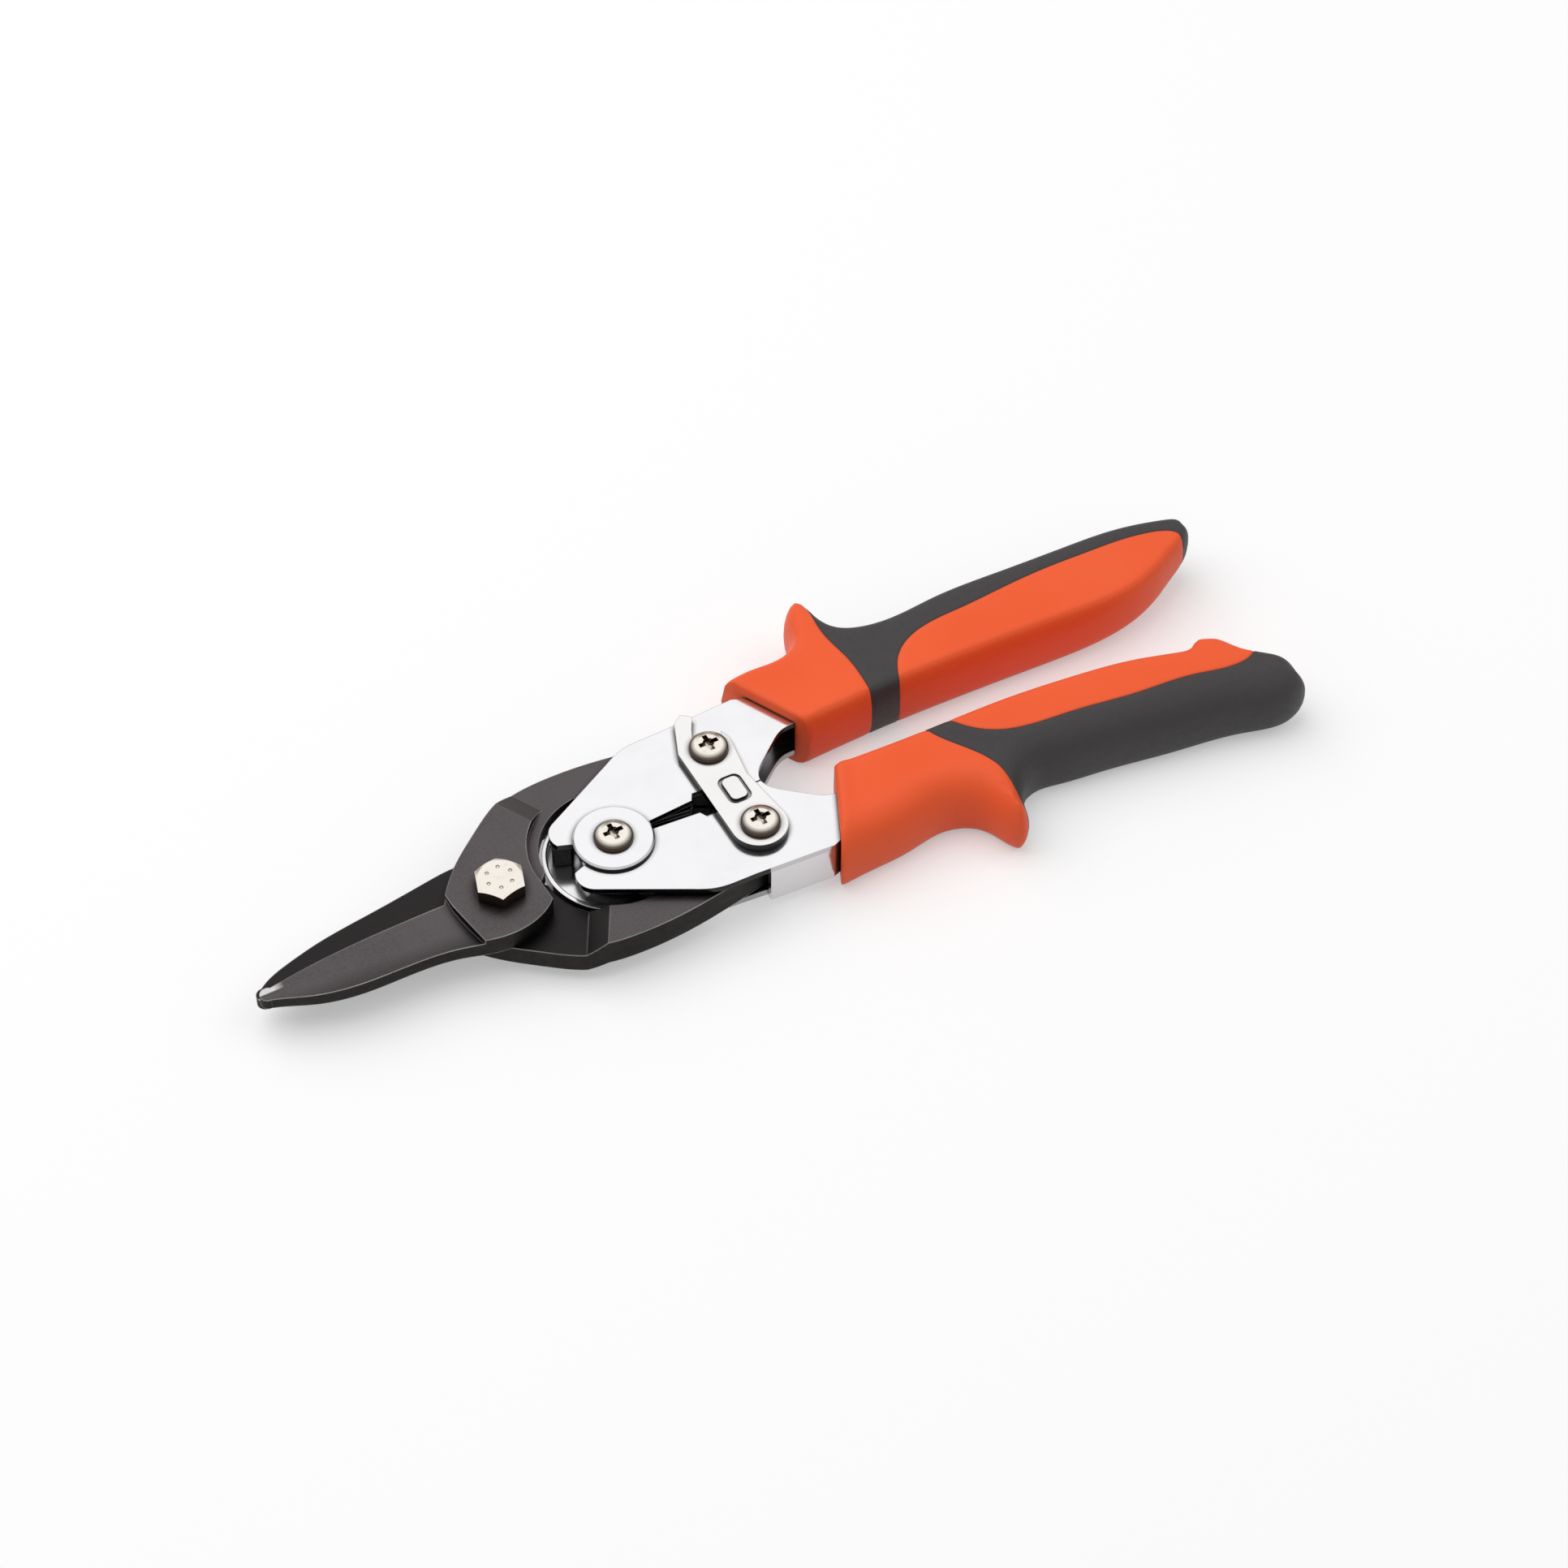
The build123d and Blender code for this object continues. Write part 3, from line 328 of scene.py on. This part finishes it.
BARE = (0.89, 0.84, 0.76, 1.0)  # nickel of the screws and the blade bolt
BROWN = (0.060, 0.042, 0.030, 1.0)  # their stains, and the dark reflections and shade painted on them
FINISHES = {
    "blade_steel": blade_metal("blade_steel", 0.106, 0.026, 0.50, 0.028),
    "zinc": plated_metal(
        "zinc",
        colour=BARE,
        roughness=0.10,
        edge_radius=0.25 * MM,
        stain_and_painted_dark=BROWN,
        rim_share=0.6,
        steep=(0.60, 0.90),
        recess=0.9,
        stain=0.18,
        rings=True,
    ),
    "bolt_nickel": plated_metal(
        "bolt_nickel",
        colour=BARE,
        roughness=0.16,
        edge_radius=0.2 * MM,
        stain_and_painted_dark=BROWN,
        rim_share=0.1,
        steep=(0.25, 0.50),
        recess=0.15,
        stain=0.08,
    ),
    "frame_chrome": plated_metal(
        "frame_chrome",
        colour=(0.885, 0.874, 0.890, 1.0),
        roughness=0.15,
        edge_radius=0.3 * MM,
        stain_and_painted_dark=grey(0.016, 0.05),
        rim_share=0.45,
        steep=(0.5, 0.85),
        recess=0.85,
        raised_only=True,
    ),
    "latch_steel": plated_metal(
        "latch_steel",
        colour=(0.890, 0.878, 0.866, 1.0),
        roughness=0.18,
        edge_radius=0.3 * MM,
        stain_and_painted_dark=grey(0.014, 0.05),
        rim_share=0.45,
        steep=(0.5, 0.85),
        recess=0.9,
        raised_only=True,
    ),
    "spring_steel": ground_metal("spring_steel", grey(0.06), grey(0.20), 0.35, 0.1 * MM),
    "orange_core": moulded(
        "orange_core",
        colour=(0.97, 0.126, 0.033, 1.0),
        shade=(0.94, 0.113, 0.027, 1.0),
        roughness=0.46,
        edge_radius=0.5 * MM,
        grain=3600.0,
        grain_depth=0.02 * MM,
        Specular_IOR_Level=0.32,
    ),
    "black_overmould": moulded(
        "black_overmould",
        colour=(0.034, 0.030, 0.032, 1.0),
        shade=(0.029, 0.025, 0.027, 1.0),
        roughness=0.54,
        edge_radius=0.4 * MM,
        grain=3000.0,
        grain_depth=0.03 * MM,
    ),
    "stop_rubber": moulded(
        "stop_rubber",
        colour=grey(0.006),
        shade=grey(0.005),
        roughness=0.70,
        edge_radius=0.3 * MM,
        grain=3000.0,
        grain_depth=0.02 * MM,
    ),
}
# nodes whose finish differs from the rest of their slot
SPECIAL = {"stop_pad": "stop_rubber", "pivot_bolt": "bolt_nickel", "pivot_nut": "bolt_nickel"}
for subpart in frame["record"]["subparts"]:
    piece = nodes[subpart["node"]]
    piece.data.materials.clear()
    piece.data.materials.append(FINISHES[SPECIAL.get(subpart["node"], subpart["material_slot"])])


# ---- grips -----------------------------------------------------------------------------------
# Laid out in millimetres about the centre pivot, on the side of handle A; handle B is mirrored.
SHIFT = (-38.5, -2.75, 8.5)  # the centre pivot in the part's frame
END = 163.5  # X of the grips' far ends
MOUTH_OUTER = 42.6  # X of the mouth, where the frame runs in, at its outer and inner corner
MOUTH_INNER = 53.8
FAR_Y = 52.0  # beyond every outline, so that seams cut right across
BEHIND_Y = -6.0
HALF_THICK = 8.5
# the mesh: rows of points beside the outline and the seams, and a grid between them
RIM_ROWS = (0.12, 0.45, 1.0, 1.75, 2.6, 3.4)
SEAM_ROWS = (-0.7, -0.3, 0.3, 0.7)
RIM_BAND, SEAM_BAND = 4.0, 1.0  # the grid stays this far off
RIM_CLEAR, SEAM_CLEAR = 0.08, 0.2  # and the rows this far
GRID = 1.3
CELL = 0.35  # at most one extra mesh point in a square of this side
MOUTH_STEPS = 24
# the surface
GROOVE_DEPTH, GROOVE_WIDTH = 0.22, 0.28  # the line pressed along each colour border
LIP_REACH, LIP_DROP = 1.3, 0.9  # the rounding at the mouth
FLARE_AT, FLARE_WIDTH = 1.6, 1.5  # the swelling behind it
SHARP = radians(42)
# the pocket for the frame: wide at the mouth, and narrower where only the tang goes on
POCKET_START, POCKET_NARROW, POCKET_END = 36.0, 50.6, 118.0
POCKET_INNER, POCKET_OUTER, POCKET_TANG = 11.35, 24.65, 21.65
POCKET_HALF = 5.55


def smooth_path(points, step=0.8):
    """Evenly spaced points on the natural cubic curve through given points."""
    points = np.array(points, float)
    knots = np.concatenate([[0.0], np.cumsum(np.linalg.norm(np.diff(points, axis=0), axis=1))])
    gaps = np.diff(knots)
    count = len(points)
    matrix = np.eye(count)
    right = np.zeros((count, 2))
    for i in range(1, count - 1):
        matrix[i, i - 1 : i + 2] = gaps[i - 1], 2 * (gaps[i - 1] + gaps[i]), gaps[i]
        slopes = (points[i + 1] - points[i]) / gaps[i] - (points[i] - points[i - 1]) / gaps[i - 1]
        right[i] = 6 * slopes
    bend = np.linalg.solve(matrix, right)
    at = np.linspace(0, knots[-1], max(2, int(knots[-1] / step)) + 1)
    span = np.clip(np.searchsorted(knots, at, side="right") - 1, 0, count - 2)
    before = ((knots[span + 1] - at) / gaps[span])[:, None]
    after = 1 - before
    square = (gaps[span] ** 2 / 6)[:, None]
    flat = before * points[span] + after * points[span + 1]
    return flat + square * ((before**3 - before) * bend[span] + (after**3 - after) * bend[span + 1])


def distance_to(path, where):
    """Distance from each point to a polyline."""
    best = np.full(len(where), 1e9)
    for start, end in zip(path[:-1], path[1:]):
        along = end - start
        t = np.clip(((where - start) @ along) / max(along @ along, 1e-12), 0, 1)
        best = np.minimum(best, np.linalg.norm(where - start - t[:, None] * along, axis=1))
    return best


def inside(polygon, where):
    """Which points lie inside a closed polygon."""
    result = np.zeros(len(where), bool)
    x, y = where[:, 0], where[:, 1]
    for (x0, y0), (x1, y1) in zip(polygon, np.roll(polygon, -1, axis=0)):
        crosses = (y0 > y) != (y1 > y)
        if y0 != y1:
            result ^= crosses & (x < (x1 - x0) * (y - y0) / (y1 - y0) + x0)
    return result


def beside(path, offset):
    """The path moved sideways, to its right."""
    run = np.gradient(path, axis=0)
    run /= np.linalg.norm(run, axis=1)[:, None]
    return path + offset * np.stack([run[:, 1], -run[:, 0]], axis=1)


def crown(distance, radius, power):
    """Rise of a rounded edge, from 0 at the edge to 1 at the radius and beyond."""
    t = np.clip(distance / radius, 0, 1)
    return (1 - (1 - t) ** power) ** (1 / power)


def plan_mesh(outline, seams):
    """Triangles over the plan: fine near its outline and seams, coarse elsewhere."""
    points = list(outline)
    edges = [(i, (i + 1) % len(outline)) for i in range(len(outline))]
    for seam in seams:
        first = len(points)
        points += list(seam)
        edges += [(first + i, first + i + 1) for i in range(len(seam) - 1)]
    extra = [beside(outline[:-1], offset) for offset in RIM_ROWS]
    extra += [beside(seam, offset) for seam in seams for offset in SEAM_ROWS]
    low = outline.min(axis=0)
    high = outline.max(axis=0)
    rows = np.arange(low[1], high[1], GRID)
    columns = np.arange(low[0], high[0], GRID)
    grid = [(x + 0.5 * GRID * (row % 2), y) for row, y in enumerate(rows) for x in columns]
    grid = np.array(grid)
    closed = np.vstack([outline, outline[:1]])
    grid = grid[distance_to(closed, grid) > RIM_BAND]
    for seam in seams:
        grid = grid[distance_to(seam, grid) > SEAM_BAND]
    extra = np.vstack(extra + [grid])
    extra = extra[inside(outline, extra)]
    extra = extra[distance_to(closed, extra) > RIM_CLEAR]
    for seam in seams:
        extra = extra[distance_to(seam, extra) > SEAM_CLEAR]
    cells = set()
    for x, y in extra:
        cell = (int(x // CELL), int(y // CELL))
        if cell not in cells:
            cells.add(cell)
            points.append((x, y))
    made = delaunay_2d_cdt([Vector(p) for p in points], edges, [], 0, 1e-5)
    flat = np.array([tuple(v) for v in made[0]])
    faces = np.array([tuple(f) for f in made[2] if len(f) == 3])
    middles = flat[faces].mean(axis=1)
    return flat, faces[inside(outline, middles)]


def placed_mesh(name, vertices, polygons, mirror):
    """Object made of points in the grips' own millimetres, turned over for handle B."""
    flip = -1.0 if mirror else 1.0
    placed = [
        ((x + SHIFT[0]) * MM, (flip * y + SHIFT[1]) * MM, (z + SHIFT[2]) * MM)
        for x, y, z in vertices
    ]
    if mirror:
        polygons = [tuple(reversed(polygon)) for polygon in polygons]
    mesh = bpy.data.meshes.new(name)
    mesh.from_pydata(placed, [], polygons)
    made = bpy.data.objects.new(name, mesh)
    scene.collection.objects.link(made)
    return made


def shaped_solid(name, flat, faces, top, bottom, rim, mirror):
    """Closed mesh between the top and bottom heights of some plan triangles.

    The two skins share their points on the rim, and walls close them everywhere else.
    """
    used = np.unique(faces)
    upper = {v: i for i, v in enumerate(used)}
    lower = {}
    vertices = [(flat[v, 0], flat[v, 1], top[v]) for v in used]
    for v in used:
        if rim[v]:
            lower[v] = upper[v]
        else:
            lower[v] = len(vertices)
            vertices.append((flat[v, 0], flat[v, 1], bottom[v]))
    polygons = []
    sides = {}  # directed edges, in the order they are met
    for a, b, c in faces:
        ab, ac = flat[b] - flat[a], flat[c] - flat[a]
        if ab[0] * ac[1] - ab[1] * ac[0] < 0:
            b, c = c, b
        polygons.append((upper[a], upper[b], upper[c]))
        polygons.append((lower[c], lower[b], lower[a]))
        for edge in ((a, b), (b, c), (c, a)):
            sides[edge] = True
    for a, b in sides:
        if (b, a) not in sides:
            wall = tuple(dict.fromkeys([lower[a], lower[b], upper[b], upper[a]]))
            if len(wall) > 2:
                polygons.append(wall)
    made = placed_mesh(name, vertices, polygons, mirror)
    made.data.validate()
    made.data.shade_smooth()
    made.data.set_sharp_from_angle(angle=SHARP)
    return made


def cut_pocket(target, mirror):
    """Hollows the front block for the frame that runs into it."""
    ring = [
        (POCKET_START, POCKET_INNER),
        (POCKET_START, POCKET_OUTER),
        (MOUTH_OUTER, POCKET_OUTER),
        (POCKET_NARROW, POCKET_TANG),
        (POCKET_END, POCKET_TANG),
        (POCKET_END, POCKET_INNER),
    ]
    count = len(ring)
    vertices = [(x, y, level) for level in (-POCKET_HALF, POCKET_HALF) for x, y in ring]
    faces = [tuple(range(count)), tuple(range(2 * count - 1, count - 1, -1))]
    faces += [(i, i + count, (i + 1) % count + count, (i + 1) % count) for i in range(count)]
    cutter = placed_mesh("pocket", vertices, faces, mirror)
    knife = target.modifiers.new("pocket", "BOOLEAN")
    knife.operation = "DIFFERENCE"
    knife.solver = "EXACT"
    knife.object = cutter
    bpy.context.view_layer.update()
    evaluated = target.evaluated_get(bpy.context.evaluated_depsgraph_get())
    hollowed = bpy.data.meshes.new_from_object(evaluated)
    target.modifiers.clear()
    target.data = hollowed
    bpy.data.objects.remove(cutter)


def build_grip(side, outline_points, seam_points, border_points, shape):
    """Orange core and black overmould of one grip, as smooth closed shells."""
    mirror = side == "b"
    path = smooth_path(outline_points)
    split = np.argmax(path[:, 0])  # the outer side runs up to here and the inner side back
    if "nub" in shape:
        nub_x, nub_out, nub_half = shape["nub"]
        swell = nub_out * np.exp(-(((path[:, 0] - nub_x) / nub_half) ** 4))
        swell[:split] = 0.0
        path[:, 1] -= swell
    outer, inner = path[: split + 1], path[split:]
    steps = np.linspace(0, 1, MOUTH_STEPS)[1:-1]
    mouth = np.array([path[-1] + (path[0] - path[-1]) * t for t in steps])
    outline = np.vstack([path, mouth])
    seam = smooth_path(seam_points)
    border = smooth_path(border_points)
    flat, faces = plan_mesh(outline, [seam, border])
    closed_mouth = np.vstack([path[-1:], mouth, path[:1]])
    to_outer = distance_to(outer, flat)
    to_inner = distance_to(inner, flat)
    to_mouth = distance_to(closed_mouth, flat)
    to_seam = np.minimum(distance_to(seam, flat), distance_to(border, flat))
    front = np.vstack([seam, [(MOUTH_OUTER - 12, FAR_Y), (MOUTH_OUTER - 12, BEHIND_Y)]])
    middles = flat[faces].mean(axis=1)
    in_front = inside(front, middles)
    in_panel = inside(border, middles) & ~in_front
    outer_top, inner_top = shape["top_round"]
    outer_low, inner_low = shape["low_round"]
    rise = crown(to_outer, *outer_top) * crown(to_inner, *inner_top)
    fall = crown(to_outer, *outer_low) * crown(to_inner, *inner_low)
    taper_from = shape["taper_from"]
    toward_end = np.clip((flat[:, 0] - taper_from) / (END - taper_from), 0, 1) ** 2
    high = HALF_THICK - shape["top_drop"] * toward_end
    low = -HALF_THICK + shape["low_rise"] * toward_end
    middle = shape["split"] + 0.5 * (high + low)
    groove = GROOVE_DEPTH * np.exp(-((to_seam / GROOVE_WIDTH) ** 2)) * np.clip(rise * 1.5, 0, 1)
    lip = LIP_DROP * (1.0 - crown(to_mouth, LIP_REACH, 2.0))
    flare = shape["flare"] * np.exp(-(((to_mouth - FLARE_AT) / FLARE_WIDTH) ** 2)) * rise
    top = middle + (high - middle) * rise - groove - lip * rise + flare
    bottom = middle - (middle - low) * fall + groove + lip * fall
    rim = np.minimum(to_outer, to_inner) < 1e-6
    top[rim] = bottom[rim] = middle[rim]
    hard = in_front | in_panel
    parts = (("core", hard, "orange_core"), ("overmould", ~hard, "black_overmould"))
    for part, chosen, finish in parts:
        name = f"grip_{part}_{side}_shaped"
        made = shaped_solid(name, flat, faces[chosen], top, bottom, rim, mirror)
        made.data.materials.append(FINISHES[finish])
        if part == "core":
            cut_pocket(made, mirror)
        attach(made, "handle_" + side)
        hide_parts(f"grip_{part}_{side}")


# Handle A: the sides of its grip, and the tip of its horn.
PALM_OUTER, PALM_INNER, HORN_X, HORN_Y = 30.4, 8.4, 68.8, 44.1
PALM = [
    (MOUTH_OUTER, PALM_OUTER - 0.8),
    (MOUTH_OUTER + 7.4, PALM_OUTER),
    (HORN_X - 11.0, PALM_OUTER + 0.1),
    (HORN_X - 7.0, PALM_OUTER + 2.4),
    (HORN_X - 4.6, HORN_Y - 5.0),
    (HORN_X - 2.6, HORN_Y - 1.5),
    (HORN_X, HORN_Y),
    (HORN_X + 2.3, HORN_Y - 1.6),
    (HORN_X + 3.3, HORN_Y - 5.0),
    (HORN_X + 5.6, PALM_OUTER + 2.4),
    (HORN_X + 10.4, PALM_OUTER - 0.1),
    (HORN_X + 29.0, PALM_OUTER),
    (END - 48.0, PALM_OUTER - 0.1),
    (END - 30.0, PALM_OUTER - 0.5),
    (END - 17.0, PALM_OUTER - 1.1),
    (END - 4.6, PALM_OUTER - 3.7),
    (END - 0.9, PALM_OUTER - 5.6),
    (END, PALM_OUTER - 8.0),
    (END - 1.3, PALM_OUTER - 11.0),
    (END - 8.0, PALM_INNER + 6.3),
    (END - 15.0, PALM_INNER + 2.5),
    (END - 26.0, PALM_INNER - 0.5),
    (END - 44.0, PALM_INNER - 0.6),
    (END - 68.0, PALM_INNER + 0.2),
    (END - 90.0, PALM_INNER + 0.3),
    (MOUTH_INNER, PALM_INNER - 0.6),
]
PALM_SEAM = [(69.2, -8.0), (70.8, 11.4), (70.9, 20.8), (69.6, 30.4), (70.2, 38.4), (70.6, FAR_Y)]
PALM_BORDER = [
    (77.0, -8.0),
    (78.6, 10.6),
    (81.8, 16.4),
    (88.3, 20.6),
    (101.8, 22.3),
    (113.0, 23.2),
    (126.0, 23.9),
    (137.8, 23.8),
    (152.6, 22.7),
    (159.0, 19.4),
    (158.8, 14.4),
    (157.0, -8.0),
]
# Handle B: the sides of its grip, the tip of its horn, and the outer side at its far end.
FINGER_OUTER, FINGER_INNER, SPUR_X, SPUR_Y, FINGER_END = 25.6, 4.3, 82.8, 38.6, 35.6
FINGER = [
    (MOUTH_OUTER, FINGER_OUTER + 2.4),
    (MOUTH_OUTER + 7.4, FINGER_OUTER + 1.7),
    (SPUR_X - 21.0, FINGER_OUTER + 0.8),
    (SPUR_X - 10.2, FINGER_OUTER - 0.3),
    (SPUR_X - 5.0, FINGER_OUTER + 2.4),
    (SPUR_X - 2.6, SPUR_Y - 6.2),
    (SPUR_X - 1.0, SPUR_Y - 2.9),
    (SPUR_X + 1.0, SPUR_Y - 1.3),
    (SPUR_X + 3.2, SPUR_Y - 2.4),
    (SPUR_X + 4.4, SPUR_Y - 5.4),
    (SPUR_X + 7.4, FINGER_OUTER + 1.9),
    (SPUR_X + 12.0, FINGER_OUTER - 0.8),
    (SPUR_X + 19.0, FINGER_OUTER - 0.3),
    (SPUR_X + 30.0, FINGER_OUTER + 1.1),
    (END - 34.0, FINGER_END - 6.2),
    (END - 17.0, FINGER_END - 3.1),
    (END - 6.0, FINGER_END - 1.2),
    (END - 0.6, FINGER_END - 4.8),
    (END - 1.6, FINGER_END - 9.8),
    (END - 6.6, FINGER_END - 15.2),
    (END - 13.4, FINGER_INNER + 10.8),
    (END - 24.0, FINGER_INNER + 7.0),
    (END - 34.0, FINGER_INNER + 4.2),
    (END - 49.5, FINGER_INNER + 1.8),
    (END - 66.0, FINGER_INNER + 0.4),
    (END - 90.0, FINGER_INNER + 0.1),
    (MOUTH_INNER, FINGER_INNER - 0.6),
]
FINGER_SEAM = [(73.4, -8.0), (77.0, 9.0), (84.2, 20.8), (86.0, 29.6), (85.8, 36.0), (83.4, FAR_Y)]
FINGER_BORDER = [
    (78.6, -8.0),
    (83.2, 8.2),
    (90.2, 14.3),
    (98.6, 16.6),
    (109.0, 17.6),
    (124.0, 19.7),
    (138.0, 21.0),
    (149.0, 22.9),
    (153.8, 21.6),
    (155.6, 15.4),
    (155.8, -8.0),
]
# Each rounding is a radius in plan and a power, for the outer and then the inner side: 2 is an
# ellipse, more is squarer. split is the height of the widest line, and nub a swelling of the
# inner side: its place, how far it stands out, and half its length.
build_grip(
    "a",
    PALM,
    PALM_SEAM,
    PALM_BORDER,
    {
        "top_round": ((3.4, 2.2), (2.4, 2.2)),
        "low_round": ((4.4, 2.2), (5.0, 2.6)),
        "split": 0.0,
        "taper_from": 112.0,
        "top_drop": 1.0,
        "low_rise": 5.0,
        "flare": 0.0,
    },
)
build_grip(
    "b",
    FINGER,
    FINGER_SEAM,
    FINGER_BORDER,
    {
        "top_round": ((7.4, 2.1), (3.4, 2.2)),
        "low_round": ((3.6, 2.2), (4.6, 2.4)),
        "split": -1.6,
        "taper_from": 118.0,
        "top_drop": 0.4,
        "low_rise": 1.6,
        "flare": 0.4,
        "nub": (147.8, 3.1, 4.8),
    },
)


# ---- stage -----------------------------------------------------------------------------------
AMBIENT = 0.34  # light from all round on matt surfaces
CEILING = 1.05  # what a level polished face reflects
SURROUND = 0.26  # what an upright polished face reflects near the horizon
WARM = (1.0, 0.86, 0.74, 1.0)  # the surround's colour
CEILING_START = 0.02  # sine of the elevation where the ceiling begins
CEILING_FULL = 0.34  # and where it is at its full brightness
FLOOR_COLOUR = 0.70
FLOOR_GLOW = 0.36  # brings the floor to the backdrop's white, for the camera and reflections
FLOOR_SIDE = 2.2
FLOOR_LEVEL = -0.1 * MM


def floor_material():
    """Pale matt floor, as white as its backdrop to the camera and in reflections."""
    g = Graph("floor_white")
    diffuse = g.node("BsdfDiffuse")
    diffuse.inputs["Color"].default_value = grey(FLOOR_COLOUR)
    glow = g.node("Emission")
    path = g.node("LightPath")
    seen = g.maths("MAXIMUM", path.outputs["Is Camera Ray"], path.outputs["Is Glossy Ray"])
    g.link(g.maths("MULTIPLY", seen, FLOOR_GLOW), glow.inputs["Strength"])
    both = g.node("AddShader")
    g.link(diffuse.outputs[0], both.inputs[0])
    g.link(glow.outputs[0], both.inputs[1])
    g.link(both.outputs[0], g.output.inputs["Surface"])
    return g.material


def build_floor():
    mesh = bpy.data.meshes.new("floor")
    corners = [(-1, -1), (1, -1), (1, 1), (-1, 1)]
    corners = [(x * FLOOR_SIDE, y * FLOOR_SIDE, FLOOR_LEVEL) for x, y in corners]
    mesh.from_pydata(corners, [], [(0, 1, 2, 3)])
    floor = bpy.data.objects.new("floor", mesh)
    mesh.materials.append(floor_material())
    scene.collection.objects.link(floor)


def build_world():
    """White backdrop; reflections see a bright ceiling that falls off to a dim, warm surround."""
    world = bpy.data.worlds.new("studio")
    world.use_nodes = True
    tree = world.node_tree
    tree.nodes.clear()

    def made(kind, **settings):
        node = tree.nodes.new("ShaderNode" + kind)
        for key, value in settings.items():
            setattr(node, key, value)
        return node

    def background(strength, colour=(1.0, 1.0, 1.0, 1.0)):
        node = made("Background")
        node.inputs["Strength"].default_value = strength
        node.inputs["Color"].default_value = colour
        return node

    def mixed(factor, a, b):
        node = made("MixShader")
        tree.links.new(factor, node.inputs[0])
        tree.links.new(a.outputs[0], node.inputs[1])
        tree.links.new(b.outputs[0], node.inputs[2])
        return node

    path = made("LightPath")
    direct = made("Math", operation="MAXIMUM")
    tree.links.new(path.outputs["Is Camera Ray"], direct.inputs[0])
    tree.links.new(path.outputs["Is Transmission Ray"], direct.inputs[1])
    direction = made("TexCoord")
    height = made("SeparateXYZ")
    tree.links.new(direction.outputs["Generated"], height.inputs[0])
    rise = made("MapRange", interpolation_type="SMOOTHSTEP")
    rise.inputs["From Min"].default_value = CEILING_START
    rise.inputs["From Max"].default_value = CEILING_FULL
    tree.links.new(height.outputs["Z"], rise.inputs["Value"])
    surround = mixed(rise.outputs["Result"], background(SURROUND, WARM), background(CEILING))
    indirect = mixed(path.outputs["Is Glossy Ray"], background(AMBIENT), surround)
    shown = mixed(direct.outputs[0], indirect, background(1.0))
    output = made("OutputWorld")
    tree.links.new(shown.outputs[0], output.inputs["Surface"])
    scene.world = world


def softbox(name, place, side, power):
    """Square lamp that faces the origin and isn't mirrored in the metal."""
    data = bpy.data.lights.new(name, "AREA")
    data.shape = "SQUARE"
    data.size = side
    data.energy = power
    lamp = bpy.data.objects.new(name, data)
    lamp.location = place
    lamp.visible_glossy = False
    lamp.rotation_euler = (-Vector(place)).to_track_quat("-Z", "Y").to_euler()
    scene.collection.objects.link(lamp)


AZIMUTH, ELEVATION = radians(-29.7), radians(49.0)  # the photograph's line of sight
SIGHTED = Vector((21.5 * MM, -2.75 * MM, 8.5 * MM))  # the camera is 1 m from this point
PICTURE = 1932.0  # width of the image, in pixels
FOCAL = 5420.0  # focal length, in pixels
OFF_RIGHT, OFF_UP = 80.4, 31.7  # how far that point is from the image's middle, in pixels
SENSOR = 36.0


def build_camera():
    """Looks along the photograph's line of sight, turned so that the framing is the same."""
    level = cos(ELEVATION)
    away = Vector((sin(AZIMUTH) * level, -cos(AZIMUTH) * level, sin(ELEVATION)))
    right = Vector((cos(AZIMUTH), sin(AZIMUTH), 0.0))
    up = away.cross(right)
    aim = -away - right * (OFF_RIGHT / FOCAL) - up * (OFF_UP / FOCAL)
    data = bpy.data.cameras.new("camera")
    data.sensor_width = SENSOR
    data.lens = SENSOR * FOCAL / PICTURE
    data.clip_start = 0.01
    data.clip_end = 20.0
    camera = bpy.data.objects.new("camera", data)
    camera.location = SIGHTED + away
    camera.rotation_euler = aim.to_track_quat("-Z", "Y").to_euler()
    scene.collection.objects.link(camera)
    scene.camera = camera


build_floor()
build_world()
softbox("key", (-0.45, 0.65, 1.55), 2.2, 23.5)
softbox("fill", (1.0, -0.5, 1.2), 1.2, 4.0)
build_camera()
scene.view_settings.view_transform = "Standard"
